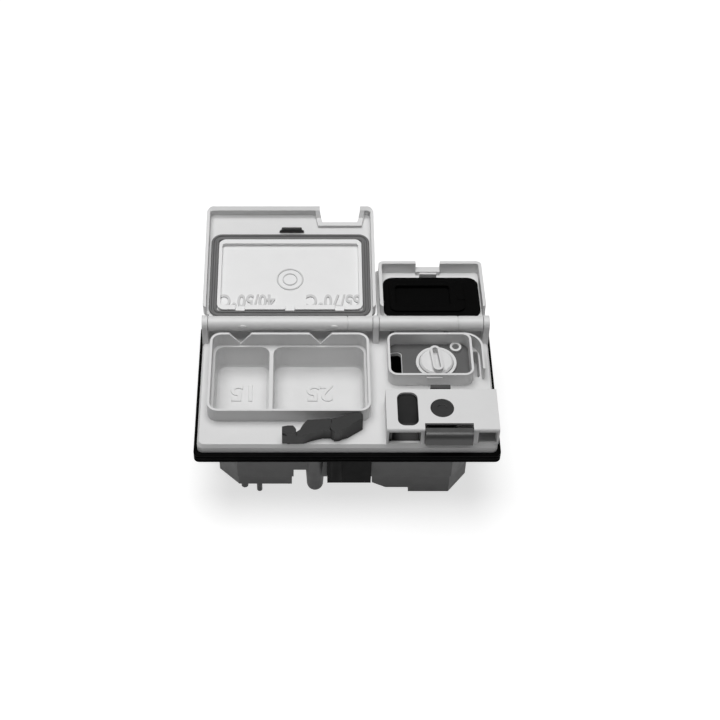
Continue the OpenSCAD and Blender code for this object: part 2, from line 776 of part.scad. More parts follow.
// Space of the panel in the seal frame, from the recess in the lid upwards
module frame_recess(grow, over) {
    slab(frame_x0 + frame_side - grow, frame_l0 + frame_rib - grow, frame_x1 - frame_side + grow,
        frame_l1 - frame_rib + grow, cup_r - 3.5 + grow, lid_floor - frame_drop, lid_floor + over + 0.01);
}

// Frame that holds the lid seal, with three clip gaps on its hinge side
module seal_frame() {
    panel_z = lid_floor - frame_drop + frame_floor;
    color("whitesmoke")
    in_lid(lid_tilt)
    difference() {
        union() {
            slab(frame_x0, frame_l0, frame_x1, frame_l1, cup_r - 2, lid_floor, lid_floor + frame_h);
            frame_recess(0, 0);
        }
        slab(frame_x0 + frame_side + 0.8, frame_l0 + frame_rib + 0.8, frame_x1 - frame_side - 0.8,
            frame_l1 - frame_rib - 0.8, cup_r - 4.3, panel_z, lid_floor + frame_h + eps);
        for (t = [0.16, 0.5, 0.84])
            block([frame_x0 + (frame_x1 - frame_x0) * t - 2.6, frame_l0 - eps, lid_floor + frame_floor],
                [frame_x0 + (frame_x1 - frame_x0) * t + 2.6, frame_l0 + frame_rib + 1,
                lid_floor + frame_h + eps]);
    }
}

module detergent_lid_seal() {
    color("gray")
    in_lid(lid_tilt)
    difference() {
        slab(cup_x0 - seal_off, seal_l0, cup_x1 + seal_off, seal_l1, cup_r, lid_floor, lid_floor + seal_t);
        slab(cup_x0 - seal_off + seal_w, seal_in_l0, cup_x1 + seal_off - seal_w, seal_in_l1,
            cup_r - 2, lid_floor - eps, lid_floor + seal_t + eps);
    }
}

// Catch that the lever hooks: a tapered upright with a lip at its top
module lid_catch() {
    color("dimgray")
    in_lid(lid_tilt)
    intersection() {
        translate([0, catch_l + catch_t + catch_lip + eps, 0])
            rotate([90, 0, 0])
                linear_extrude(10)
                    polygon([[catch_x - catch_w / 2, lid_floor], [catch_x + catch_w / 2, lid_floor],
                        [catch_x + catch_w / 2, lid_floor + catch_foot_h],
                        [catch_x + catch_top_w / 2, catch_h[1]], [catch_x - catch_top_w / 2, catch_h[1]],
                        [catch_x - catch_w / 2, lid_floor + catch_foot_h]]);
        along_x(catch_x - catch_w, catch_x + catch_w)
            polygon([[catch_l, lid_floor], [catch_l + catch_t + 1, lid_floor],
                [catch_l + catch_t, lid_floor + catch_foot_h], [catch_l + catch_t, catch_h[0]],
                [catch_l + catch_t + catch_lip, catch_h[0]],
                [catch_l + catch_t + catch_lip, catch_h[1] - 0.4],
                [catch_l + catch_t + catch_lip - 0.4, catch_h[1]], [catch_l, catch_h[1]]]);
    }
}

module detergent_hinge_pin() {
    color("silver")
    rod_x(x_left + 0.3, ear_x[1] + ear_t - 1, hinge_y, hinge_z, pin_r);
}

module rinse_hinge_pin() {
    color("silver")
    rod_x(ear_x[1] + ear_t - 0.9, x_right - 0.3, hinge_y, hinge_z, pin_r);
}

module lid_spring(span) {
    color("slategray")
    translate([span[1] - spring_pocket + 0.6, hinge_y, hinge_z])
        rotate([0, 90, 0])
            wire_coil(coil_r, lid_wire / 2, 8, spring_pocket - 1.4);
}

module detergent_lid_spring() {
    lid_spring(barrel_x[0]);
}

module rinse_lid_spring() {
    lid_spring(barrel_x[1]);
}

module rinse_lid() {
    wall_x0 = small_x0 + small_step;
    color("gainsboro")
    in_lid(-small_tilt)
    difference() {
        union() {
            lid_barrel(barrel_x[1], 1);
            slab(small_x0, lid_root, small_x1, small_len - 0.4, 2, lid_back, lid_floor);
            difference() {
                slab(wall_x0, lid_root, small_x1, small_len, 3, lid_back, small_top);
                slab(wall_x0 + lid_wall, lid_root - 5, small_x1 - lid_wall, small_len - lid_tip_wall, 1.5,
                    lid_floor, small_top + eps);
            }
            block([small_notch_x - 4.8, small_len - 7.4, lid_floor - eps],
                [small_notch_x + 4.8, small_len - 6, lid_floor + 3.6]);
            block([small_notch_x - small_notch_w / 2, small_len - lid_tip_wall - 2, lid_floor - eps],
                [small_notch_x + small_notch_w / 2, small_len - 0.6, lid_floor + 2.6]);
        }
        block([small_notch_x - small_notch_w / 2, small_len - lid_tip_wall - eps, lid_floor + 2.6],
            [small_notch_x + small_notch_w / 2, small_len + eps, small_top + eps]);
        barrel_slot(barrel_x[1][1] - spring_pocket - 2);
        block([small_x1 - 1, lid_root - 1, lid_back - 1], [small_x1 + eps, lid_root, small_top]);
    }
}

// Seal pad of the small lid, with a plug that enters the well
module rinse_lid_seal() {
    x0 = well_x0 - 1.2;
    x1 = wing_x1 + 0.2;
    l0 = hinge_y - well_y1 - 0.8;
    l1 = hinge_y - well_y0 + 0.9;
    color("black")
    in_lid(-small_tilt)
    difference() {
        union() {
            slab(x0, l0, x1, l1, cup_r, lid_floor, lid_floor + seal_t);
            slab(well_x0 + 2.4, l0 + 3.4, well_x1 - 2.4, l1 - 3.6, well_r - 1, lid_floor, lid_floor + 2.4);
            translate([valve_x + 4, (l0 + l1) / 2 - 2, lid_floor])
                cylinder(h = 2.7, r = 2.2);
        }
        slab(well_x0 + 5.5, l0 + 8, well_x0 + 36, l1 - 8, 2, lid_floor + 0.4, lid_floor + 5);
    }
}

module latch_lever() {
    color("dimgray")
    translate([lever_x, lever_y, 0])
    difference() {
        union() {
            translate([0, 0, z_top + lever_gap])
                linear_extrude(lever_arm_h - lever_gap)
                    polygon(arm_outline);
            translate([0, 0, z_top + head_h[0]])
                linear_extrude(head_h[1] - head_h[0])
                    polygon(head_outline);
            translate([0, 0, z_top + lever_gap])
                linear_extrude(head_h[0] - lever_gap + eps)
                    intersection() {
                        polygon(arm_outline);
                        polygon(head_outline);
                    }
            difference() {
                translate([0, 0, z_top + lever_gap])
                    linear_extrude(lever_pad_h - lever_gap)
                        polygon(pad_outline);
                // Thumb face, leaning back along the slanted front of the pad
                translate([5.8, -1.7, z_top + lever_gap])
                    rotate([0, 0, 36])
                        rotate([-pad_lean, 0, 0])
                            translate([-4, -10, -2])
                                cube([20, 10, 20]);
            }
            translate([0, 0, z_top + 0.1])
                cylinder(h = lever_pad_h - 0.1, r = boss_r);
            translate([-25.5, -4.2, z_top + 0.1])
                cylinder(h = 2, r = 1.4);
        }
        translate([0, 0, z_top - eps])
            cylinder(h = 6 + eps, r = spindle_r + 0.02);
    }
}

// Spindle with its crank and crank pin
module lever_spindle() {
    groove_z = box_top + 4;
    color("silver")
    translate([lever_x, lever_y, 0])
    difference() {
        union() {
            translate([0, 0, crank_z])
                cylinder(h = z_top + 6 - crank_z, r = spindle_r);
            translate([0, 0, crank_z])
                cylinder(h = crank_t, r = hub_r);
            block([-2, 0, crank_z], [2, crank_r, crank_z + crank_t]);
            translate([0, crank_r, crank_z])
                cylinder(h = crank_t, r = 2.6);
            translate([0, crank_r, crank_z])
                cylinder(h = link_z + link_t / 2 + 0.4 - crank_z, r = crank_pin_r);
        }
        translate([0, 0, groove_z])
            difference() {
                cylinder(h = 1.2, r = spindle_r + eps);
                translate([0, 0, -eps])
                    cylinder(h = 3, r = spindle_r - 0.75);
            }
    }
}

module spindle_seal() {
    color("black")
    translate([lever_x, lever_y, box_top + 4.6])
        rotate_extrude()
            translate([spindle_r - 0.35, 0])
                circle(0.35);
}

module latch_cover() {
    color("gainsboro")
    difference() {
        along_x(cover_x0, cover_x1)
            polygon([[cover_y0, z_top], [cover_y1, z_top], [cover_y1, cover_z - cover_chamfer],
                [cover_y1 - cover_chamfer, cover_z], [cover_y0 + cover_chamfer, cover_z],
                [cover_y0, cover_z - cover_chamfer]]);
        block([cover_x0 + cover_wall, cover_y0 + cover_wall, z_top - eps],
            [cover_x1 - cover_wall, cover_y1 - cover_wall, cover_z - cover_wall]);
        // Round window and oblong hole
        translate([window_x, window_y, z_top])
            cylinder(h = 20, r = window_d / 2);
        slab(oblong_x[0], y_front + oblong_y[0], oblong_x[1], y_front + oblong_y[1], 4, z_top, cover_z + eps);
        // Front windows
        for (w = [left_window_x, right_window_x])
            block([w[0], cover_y0 - eps, window_z[0]], [w[1], cover_y0 + cover_wall + eps, window_z[1]]);
        // Cut-out round the button, and the way out of its nose
        block([button_x0 - run_gap, cover_y0 - eps, z_top - eps],
            [button_x1 + run_gap, button_y1 + 2.4, cover_z + eps]);
        block([window_x - nose_w / 2 - run_gap, cover_y1 - cover_wall - eps, arm_z1 - rocker_t - 0.9],
            [window_x + nose_w / 2 + run_gap, cover_y1 + eps, arm_z1 + 1.9]);
    }
}

// Duct insert under the oblong hole: a ramp that falls to the front window
module vent_duct() {
    x0 = cover_x0 + cover_wall + 0.2;
    x1 = oblong_x[1] + 1.4;
    y0 = cover_y0 + cover_wall + 0.2;
    y1 = cover_y1 - cover_wall - 0.2;
    color("dimgray")
    difference() {
        block([x0, y0, z_top], [x1, y1, cover_z - cover_wall - 0.1]);
        along_x(x0 + 1.2, x1 - 1.2)
            polygon([[y0 - eps, z_top + 1], [y0 + 11, z_top + 1], [y1 - 1.2, z_top + 10],
                [y1 - 1.2, cover_z + eps], [y0 - eps, cover_z + eps]]);
    }
}

// Button with a rounded brow between its top and its front
module button_cap(inset) {
    brow = 3;
    along_x(button_x0 + inset, button_x1 - inset) {
        polygon([[button_y0 + inset, button_z0 - (inset > 0 ? eps : 0)],
            [button_y1 - inset, button_z0 - (inset > 0 ? eps : 0)], [button_y1 - inset, button_z1 - inset],
            [button_y0 + brow, button_z1 - inset], [button_y0 + inset, button_z1 - brow]]);
        intersection() {
            translate([button_y0 + brow, button_z1 - brow])
                circle(brow - inset);
            translate([button_y0, button_z1 - brow])
                square([brow, brow]);
        }
    }
}

// Rocker with the button in front and the latch nose at the rear
module release_button() {
    color("dimgray")
    difference() {
        union() {
            difference() {
                button_cap(0);
                button_cap(1.7);
            }
            block([window_x - rocker_w / 2, button_y1 - eps, arm_z1 - rocker_t],
                [window_x + rocker_w / 2, window_y + 8, arm_z1]);
            for (side = [-1, 1])
                block([window_x + side * (rocker_w / 2 - 0.9) - 0.9, window_y - 3, rocker_z - 3],
                    [window_x + side * (rocker_w / 2 - 0.9) + 0.9, window_y + 3, arm_z1]);
            block([window_x - nose_w / 2, window_y + 6, arm_z1 - rocker_t],
                [window_x + nose_w / 2, nose_y1, arm_z1]);
            block([window_x - nose_w / 2, nose_y1 - nose_t, arm_z1 - rocker_t],
                [window_x + nose_w / 2, nose_y1, nose_z1]);
            for (side = [-1, 1])
                rod_x(window_x + side * (rocker_w / 2 + 1) - 1.2, window_x + side * (rocker_w / 2 + 1) + 1.2,
                    window_y, rocker_z, rocker_pin_r);
        }
        translate([window_x, window_y, z_top])
            cylinder(h = 20, r = tube_out_r + 1.6);
    }
}

module button_spring() {
    color("slategray")
    translate([window_x, window_y - 9.2, z_top + 0.4])
        wire_coil(2.2, 0.3, 4, arm_z1 - rocker_t - z_top - 0.8);
}

// Level window: a lens on a stem that dips into the tank
module level_prism() {
    lens_z = rocker_z + 4.6;
    color([0.15, 0.15, 0.16])
    translate([window_x, window_y, 0]) {
        translate([0, 0, -8])
            cylinder(h = lens_z + 8, r = prism_r);
        difference() {
            translate([0, 0, lens_z])
                cylinder(h = 0.9, r = window_d / 2 - 0.25);
            translate([0, 0, lens_z + 0.5])
                cylinder(h = 3, r = 2.6);
        }
        translate([0, 0, -12])
            cylinder(h = 4, r1 = 0.3, r2 = prism_r);
    }
}

module dose_dial() {
    color("whitesmoke")
    translate([dial_x, dial_y, 0])
    rotate([0, 0, dial_turn])
    difference() {
        union() {
            translate([0, 0, z_top - 0.5])
                cylinder(h = dial_h + 0.5 - 0.8, r = dial_r);
            translate([0, 0, z_top + dial_h - 0.8])
                cylinder(h = 0.8, r1 = dial_r, r2 = dial_r - 0.9);
            translate([0, 0, z_skin - 10])
                cylinder(h = plate_skin + 10, r = dial_stem_r);
            slab(-grip_w / 2, -grip_l / 2, grip_w / 2, grip_l / 2, grip_w / 2 - 0.01, z_top + 1,
                z_top + dial_h + grip_h);
        }
        slab(-grip_w / 2 + 1.4, -grip_l / 2 + 1.4, grip_w / 2 - 1.4, grip_l / 2 - 1.4,
            grip_w / 2 - 1.41, z_top + 1.4, z_top + dial_h + grip_h + eps);
        translate([0, 0, z_skin - 10 - eps])
            cylinder(h = 10, r = dial_stem_r - 1.4);
        // Seal groove
        translate([0, 0, z_skin - 5])
            difference() {
                cylinder(h = 1.2, r = dial_stem_r + eps);
                translate([0, 0, -eps])
                    cylinder(h = 3, r = dial_stem_r - 0.8);
            }
    }
}

module dial_seal() {
    color("black")
    translate([dial_x, dial_y, z_skin - 4.4])
        rotate_extrude()
            translate([dial_stem_r - 0.38, 0])
                circle(0.38);
}

module dosing_valve() {
    color("whitesmoke")
    translate([valve_x, valve_y, 0]) {
        translate([0, 0, z_skin - valve_seal_t - 1.6])
            cylinder(h = 1.5, r = valve_head_r);
        translate([0, 0, valve_floor_z - 3])
            cylinder(h = z_skin - valve_seal_t - 1 - valve_floor_z + 3, r = valve_stem_r);
    }
}

module valve_seal() {
    color("black")
    translate([valve_x, valve_y, z_skin - valve_seal_t - 0.1])
        difference() {
            cylinder(h = valve_seal_t, r = valve_head_r);
            translate([0, 0, -eps])
                cylinder(h = 3, r = 1.4);
        }
}

module valve_spring() {
    z0 = valve_floor_z + 1.9;
    z1 = z_skin - valve_seal_t - 2;
    color("slategray")
    translate([valve_x, valve_y, z0])
        wire_coil(2.3, 0.25, 7, z1 - z0);
}

// Plan of the tank: the right front corner is cut off slantwise
module tank_plan(inset) {
    polygon([[tank_x0 + inset, tank_y0 + inset], [tank_x1 - 10.6 - inset * 0.6, tank_y0 + inset],
        [tank_x1 - inset, tank_y0 + 13 + inset * 0.6], [tank_x1 - inset, tank_y1 - inset],
        [tank_x0 + inset, tank_y1 - inset]]);
}

// Front view of the tank: its floor falls in two steps to the foot on the right
module tank_side(wall) {
    polygon([[tank_x0 - eps, z_top], [tank_x1 + eps, z_top], [tank_x1 + eps, tank_z + wall],
        [tank_floor_x[1] + wall, tank_z + wall], [tank_floor_x[1] + wall, tank_floor_z[1] + wall],
        [tank_floor_x[0], tank_floor_z[1] + wall], [tank_x0 - eps, tank_floor_z[0] + wall]]);
}

// Outside of the tank; wall gives its inside
module tank_form(wall, top) {
    intersection() {
        union() {
            translate([0, 0, step_z])
                linear_extrude(top - step_z)
                    tank_plan(wall);
            translate([0, 0, tank_z])
                linear_extrude(step_z - tank_z)
                    tank_plan(wall + back_step);
        }
        translate([0, tank_y1 + eps, 0])
            rotate([90, 0, 0])
                linear_extrude(tank_y1 - tank_y0 + 2 * eps)
                    tank_side(wall);
    }
}

module rinse_tank() {
    color("dimgray")
    difference() {
        union() {
            tank_form(0, z_skin - tank_seal_t);
            for (i = [3, 4])
                hull() {
                    translate([screws[i][0], screws[i][1], tank_tab_z])
                        cylinder(h = tab_t, r = boss_out_r + 0.6, $fn = 32);
                    block([screws[i][0] - 4, tank_y1 - 1, tank_tab_z],
                        [screws[i][0] + 4, tank_y1, tank_tab_z + tab_t]);
                }
        }
        tank_form(case_wall, z_skin);
        for (i = [3, 4])
            translate([screws[i][0], screws[i][1], tank_tab_z - eps])
                cylinder(h = 2 * tab_t, r = screw_r + 0.15);
    }
}

module tank_seal() {
    color("black")
    translate([0, 0, z_skin - tank_seal_t])
        linear_extrude(tank_seal_t)
            difference() {
                tank_plan(0);
                tank_plan(case_wall);
            }
}

// Plan of the mechanism case: the left front corner is cut off slantwise
module case_plan(inset) {
    polygon([[case_x0 + 11.5 + inset * 0.6, case_y0 + inset], [case_x1 - inset, case_y0 + inset],
        [case_x1 - inset, case_y1 - inset], [case_x0 + inset, case_y1 - inset],
        [case_x0 + inset, case_y0 + 11 + inset * 0.6]]);
}

// Outside of the case; wall gives its inside
module case_form(wall, top) {
    translate([0, 0, step_z])
        linear_extrude(top - step_z)
            case_plan(wall);
    translate([0, 0, case_z + wall])
        linear_extrude(step_z - case_z - wall)
            case_plan(wall + back_step);
}

module mechanism_case() {
    color("dimgray")
    difference() {
        union() {
            difference() {
                case_form(0, case_top);
                case_form(case_wall, case_top + eps);
                // Way out of the pull link, and slots of the terminals
                block([case_x1 - 3, coil_y - 3, link_z - 3], [case_x1 + eps, coil_y + 3, link_z + 3]);
                for (z = term_z)
                    block([case_x0 - eps, term_y - 0.3, z - term_t / 2 - 0.2],
                        [case_x0 + 3, term_y + term_w + 0.3, z + term_t / 2 + 0.2]);
            }
            // Webs and peg on the right
            block([case_x1 - 1, case_y0, web_z[0]], [peg_x + 1, case_y0 + case_wall, case_top]);
            block([peg_x, case_y0, web_z[1]], [box_x0 - 0.02, case_y0 + case_wall, case_top]);
            translate([peg_x, peg_y, case_z - 1.5])
                cylinder(h = case_top - case_z + 1.5, r1 = peg_end_r, r2 = peg_r);
            translate([peg_x, peg_y, case_z - 1.5])
                sphere(peg_end_r);
            // Feet under the front edge and under the rear
            for (y = [case_y0 + 2.6, case_y1 - 14])
                translate([case_x0 + 23.1, y, tank_z])
                    cylinder(h = 10, r = 1.5);
            translate([case_x0 + 15, case_y0 + 3.3, case_z - 4])
                cylinder(h = 6, r = 1.9);
            translate([case_x1 - 2.7, case_y0 + 3.3, case_z - 1.6])
                cylinder(h = 3, r = 1.2);
            // Tabs of the rear screws and bar of the front screw
            for (i = [0, 1])
                hull() {
                    translate([screws[i][0], screws[i][1], case_tab_z])
                        cylinder(h = tab_t, r = boss_out_r + 0.6, $fn = 32);
                    block([screws[i][0] - 4, case_y1 - 1, case_tab_z], [screws[i][0] + 4, case_y1, case_top]);
                }
            block([screws[2][0] - 5, case_y0 + 1, case_tab_z], [screws[2][0] + 5, screws[2][1] + 4, case_top]);
            // Cradle of the coil frame
            for (x = [coil_x - coil_half, coil_x + coil_half - 3])
                block([x, coil_y - 6, case_z + 1], [x + 3, coil_y + 6, link_z - coil_d / 2 - 1.6]);
        }
        for (i = [0, 1, 2])
            translate([screws[i][0], screws[i][1], case_tab_z - eps])
                cylinder(h = 2 * tab_t, r = screw_r + 0.15);
        // Room for the head of the front screw in the wall
        translate([screws[2][0], screws[2][1], case_tab_z - screw_head_h - run_gap])
            cylinder(h = screw_head_h + run_gap, r = screw_head_r + 0.25);
    }
}

// Box round the crank, with a boss round the spindle; it is open to the rear
// and to the left, and steps down under the shell of the detergent cup
module crank_cover() {
    cup_y = pocket_y0 - pocket_wall - run_gap;
    cup_z = shell_z - 0.1;
    boss_z = crank_z - 1.5;
    color([0.1, 0.1, 0.1])
    difference() {
        union() {
            block([box_x0, box_y0, box_z], [box_x1, cup_y, box_top]);
            block([box_x0, box_y0, box_z], [box_x1, box_y1, cup_z]);
            translate([lever_x, lever_y, boss_z])
                cylinder(h = box_top - boss_z, r = tube_r);
        }
        block([box_x0 + case_wall, box_y0 + case_wall, box_z + case_wall],
            [box_x1 - case_wall, cup_y - case_wall, box_top - case_wall]);
        block([box_x0 + case_wall, box_y0 + case_wall, box_z + case_wall],
            [box_x1 - case_wall, box_y1 + eps, cup_z - case_wall]);
        block([box_x0 - eps, coil_y - 4, link_z - 6], [box_x0 + 3, box_y1 + eps, link_z + 4]);
        translate([lever_x, lever_y, crank_z - run_gap])
            cylinder(h = 6, r = hub_r + 0.4);
        translate([lever_x, lever_y, crank_z])
            cylinder(h = 40, r = spindle_r + 0.6);
        translate([screws[5][0], screws[5][1], box_z + 3])
            cylinder(h = 40, r = screw_r + 0.15);
    }
}

module coil_bobbin() {
    color("whitesmoke")
    difference() {
        union() {
            rod_x(coil_x - coil_half, coil_x + coil_half, coil_y, link_z, bobbin_r);
            rod_x(coil_x - coil_half, coil_x - coil_half + coil_flange_t, coil_y, link_z, coil_d / 2);
            rod_x(coil_x + coil_half - coil_flange_t, coil_x + coil_half, coil_y, link_z, coil_d / 2);
        }
        rod_x(coil_x - coil_half - eps, coil_x + coil_half + eps, coil_y, link_z, core_r + 0.2);
        for (z = term_z)
            block([coil_x - coil_half - eps, term_y - 0.05, z - term_t / 2 - 0.05],
                [coil_x - coil_half + coil_flange_t + 0.05, term_y + term_w, z + term_t / 2 + 0.05]);
    }
}

module coil_winding() {
    color("saddlebrown")
    difference() {
        rod_x(coil_x - coil_half + coil_flange_t, coil_x + coil_half - coil_flange_t, coil_y, link_z,
            coil_d / 2 - 0.8);
        rod_x(coil_x - coil_half, coil_x + coil_half, coil_y, link_z, bobbin_r);
    }
}

// Steel yoke: a strap under the coil with two upright ends
module coil_frame() {
    t = 1.5;
    w = 5;
    x0 = coil_x - coil_half - t;
    x1 = coil_x + coil_half + t;
    z0 = link_z - coil_d / 2 - 0.1 - t;
    color("lightsteelblue")
    difference() {
        union() {
            block([x0, coil_y - w, z0], [x1, coil_y + w, z0 + t]);
            block([x0, coil_y - w, z0], [x0 + t, coil_y + w, link_z + 6]);
            block([x1 - t, coil_y - w, z0], [x1, coil_y + w, link_z + 6]);
        }
        rod_x(x0 + t - eps, x1 + eps, coil_y, link_z, core_r + 0.2);
    }
}

module coil_terminals() {
    color("silver")
    for (z = term_z)
        difference() {
            block([case_x0 - term_out, term_y, z - term_t / 2],
                [coil_x - coil_half + coil_flange_t, term_y + term_w, z + term_t / 2]);
            block([case_x0 + 4, coil_y + coil_d / 2 + 1.5, z - 1], [coil_x, term_y + term_w + eps, z + 1]);
            translate([case_x0 - term_out / 2, term_y + term_w / 2, z - 1])
                cylinder(h = 2, r = 0.8);
        }
}

module armature() {
    color("lightsteelblue")
    union() {
        rod_x(coil_x - 8, case_x1 - 6, coil_y, link_z, core_r);
        rod_x(case_x1 - 6.1, case_x1 + 2, coil_y, link_z, 2);
    }
}

// Flat link from the armature to the crank pin, with a slotted eye
module pull_link() {
    color("whitesmoke")
    difference() {
        union() {
            block([case_x1 - 2, coil_y - link_w / 2, link_z - link_t / 2],
                [lever_x, coil_y + link_w / 2, link_z + link_t / 2]);
            block([case_x1 - 2, coil_y - 2.7, link_z - 2.7], [case_x1 + 3.5, coil_y + 2.7, link_z + 2.7]);
            translate([lever_x, coil_y, link_z - link_t / 2])
                cylinder(h = link_t, r = eye_r);
        }
        rod_x(case_x1 - 3, case_x1 + 2.1, coil_y, link_z, 2.05);
        slab(lever_x - crank_pin_r - 0.15, coil_y - crank_pin_r - 0.6, lever_x + crank_pin_r + 0.15,
            coil_y + crank_pin_r + 0.25, crank_pin_r + 0.14, link_z - 2, link_z + 2);
    }
}

// Screws that hold the parts behind the door
module housing_screws() {
    color("silver")
    for (s = screws)
        translate([s[0], s[1], s[2]]) {
            translate([0, 0, -screw_head_h])
                cylinder(h = screw_head_h, r = screw_head_r);
            cylinder(h = screw_l, r = screw_r);
        }
}

front_housing();
well_plate();
door_gasket();
detergent_lid();
seal_frame();
detergent_lid_seal();
lid_catch();
detergent_hinge_pin();
detergent_lid_spring();
rinse_lid();
rinse_lid_seal();
rinse_hinge_pin();
rinse_lid_spring();
latch_lever();
lever_spindle();
spindle_seal();
latch_cover();
vent_duct();
release_button();
button_spring();
level_prism();
dose_dial();
dial_seal();
dosing_valve();
valve_seal();
valve_spring();
rinse_tank();
tank_seal();
mechanism_case();
crank_cover();
coil_bobbin();
coil_winding();
coil_frame();
coil_terminals();
armature();
pull_link();
housing_screws();
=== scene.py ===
"""Looks of a dishwasher detergent dispenser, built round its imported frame."""

import json
import math

import bmesh
import bpy
from mathutils import Matrix, Vector


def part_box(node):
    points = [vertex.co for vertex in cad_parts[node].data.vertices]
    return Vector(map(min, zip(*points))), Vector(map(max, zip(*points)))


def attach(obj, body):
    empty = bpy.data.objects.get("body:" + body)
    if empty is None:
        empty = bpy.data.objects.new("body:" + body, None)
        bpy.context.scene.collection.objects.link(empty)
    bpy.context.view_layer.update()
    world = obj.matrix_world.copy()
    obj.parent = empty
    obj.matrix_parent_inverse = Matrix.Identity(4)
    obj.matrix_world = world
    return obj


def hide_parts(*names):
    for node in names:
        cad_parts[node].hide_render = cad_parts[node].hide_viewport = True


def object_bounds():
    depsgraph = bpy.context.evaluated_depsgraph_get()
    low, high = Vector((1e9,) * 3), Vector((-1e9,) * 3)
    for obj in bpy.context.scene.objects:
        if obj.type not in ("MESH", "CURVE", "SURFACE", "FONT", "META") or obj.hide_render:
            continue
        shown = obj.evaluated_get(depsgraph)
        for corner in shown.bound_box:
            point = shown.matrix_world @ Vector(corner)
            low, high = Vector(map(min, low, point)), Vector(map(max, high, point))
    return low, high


bl_info = {
    "name": "Detergent dispenser looks",
    "version": (1, 0, 0),
    "blender": (4, 5, 0),
    "location": "View3D > Sidebar > Dispenser",
    "description": "Dresses the frame of a dishwasher detergent dispenser",
    "category": "Object",
}

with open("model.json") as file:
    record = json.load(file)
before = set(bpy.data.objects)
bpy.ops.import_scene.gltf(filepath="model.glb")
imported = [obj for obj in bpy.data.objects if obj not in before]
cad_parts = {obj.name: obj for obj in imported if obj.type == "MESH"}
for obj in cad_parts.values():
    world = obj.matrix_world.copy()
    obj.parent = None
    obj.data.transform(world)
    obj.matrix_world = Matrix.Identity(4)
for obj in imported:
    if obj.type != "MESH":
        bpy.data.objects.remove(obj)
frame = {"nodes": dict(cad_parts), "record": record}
CAD_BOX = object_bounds()

MM = 0.001
JOINTS = {joint["name"]: joint for joint in frame["record"]["behaviour"]["joints"]}
HINGE = Vector(JOINTS["detergent_lid_hinge"]["pos_m"])

# Nodes that keep their CAD shape, by finish
FINISHES = {
    "pale moulding": [
        "front_housing", "detergent_lid", "rinse_lid", "latch_cover", "dose_dial",
        "dosing_valve", "pull_link", "coil_bobbin",
    ],
    "well plate": ["well_plate"],
    "lid panel": ["seal_frame"],
    "dark moulding": ["rinse_tank", "mechanism_case"],
    # The lid catch takes this dark colour as painted shade, standing in for the shadowed hollow
    # beside the lid seal
    "lever moulding and catch shade": ["latch_lever", "lid_catch", "vent_duct"],
    "button moulding": ["release_button"],
    "black moulding": ["crank_cover"],
    "black rubber": ["spindle_seal", "dial_seal", "valve_seal", "tank_seal"],
    "window plastic": ["level_prism"],
    "turned steel": ["detergent_hinge_pin", "rinse_hinge_pin", "lever_spindle", "armature"],
    "plated steel": ["coil_frame"],
    "winding": ["coil_winding"],
    "tinned brass": ["coil_terminals"],
}


def grey(value):
    """A screen grey, 0 to 1, as a linear colour."""
    linear = value / 12.92 if value <= 0.04045 else ((value + 0.055) / 1.055) ** 2.4
    return (linear, linear, linear, 1.0)


# Settings


class DispenserSizes(bpy.types.PropertyGroup):
    """Sizes of the details that the frame leaves out."""

    lid_tilt: bpy.props.FloatProperty(
        name="Lid tilt", description="Tilt of the open detergent lid",
        default=math.radians(7), subtype="ANGLE")
    small_tilt: bpy.props.FloatProperty(
        name="Small lid tilt", description="Tilt of the open rinse aid lid",
        default=math.radians(-4.5), subtype="ANGLE")
    mark_height: bpy.props.FloatProperty(
        name="Volume mark", description="Height of the figures in the compartments",
        default=11.0 * MM, unit="LENGTH")
    mark_relief: bpy.props.FloatProperty(
        name="Mark relief", description="How far figures with painted shade stand out",
        default=0.45 * MM, unit="LENGTH")
    lid_mark_height: bpy.props.FloatProperty(
        name="Lid figures", description="Height of the figures inside the lid",
        default=8.6 * MM, unit="LENGTH")
    groove: bpy.props.FloatProperty(
        name="Gasket groove", description="Depth of the grooves round the gasket",
        default=0.5 * MM, unit="LENGTH")
    tick_length: bpy.props.FloatProperty(
        name="Dial tick", description="Length of a tick round the dial",
        default=1.3 * MM, unit="LENGTH")


class DispenserColours(bpy.types.PropertyGroup):
    """Colours of the moulded parts and seals."""

    pale: bpy.props.FloatVectorProperty(
        name="Pale plastic", description="Housing, lids, cover and dial",
        default=grey(0.86), size=4, subtype="COLOR")
    panel: bpy.props.FloatVectorProperty(
        name="Lid panel", description="Frame and panel inside the lid",
        default=grey(0.90), size=4, subtype="COLOR")
    well: bpy.props.FloatVectorProperty(
        name="Well plate", description="Plate on the floor of the rinse aid well",
        default=grey(0.34), size=4, subtype="COLOR")
    dark: bpy.props.FloatVectorProperty(
        name="Dark plastic", description="Tank and mechanism case",
        default=grey(0.37), size=4, subtype="COLOR")
    # This colour also paints the lid catch dark, as painted shade for the hollow beside the lid seal
    lever: bpy.props.FloatVectorProperty(
        name="Lever plastic", description="Latch lever, catch and duct",
        default=grey(0.13), size=4, subtype="COLOR")
    button: bpy.props.FloatVectorProperty(
        name="Button plastic", description="Release button",
        default=grey(0.25), size=4, subtype="COLOR")
    black: bpy.props.FloatVectorProperty(
        name="Black plastic", description="Box round the crank",
        default=grey(0.03), size=4, subtype="COLOR")
    rubber: bpy.props.FloatVectorProperty(
        name="Black rubber", description="Door gasket and small seals",
        default=grey(0.015), size=4, subtype="COLOR")
    grey_rubber: bpy.props.FloatVectorProperty(
        name="Grey rubber", description="Seal of the detergent lid",
        default=grey(0.40), size=4, subtype="COLOR")


def sizes():
    return bpy.context.scene.dispenser_sizes


def colours():
    return bpy.context.scene.dispenser_colours


# Materials


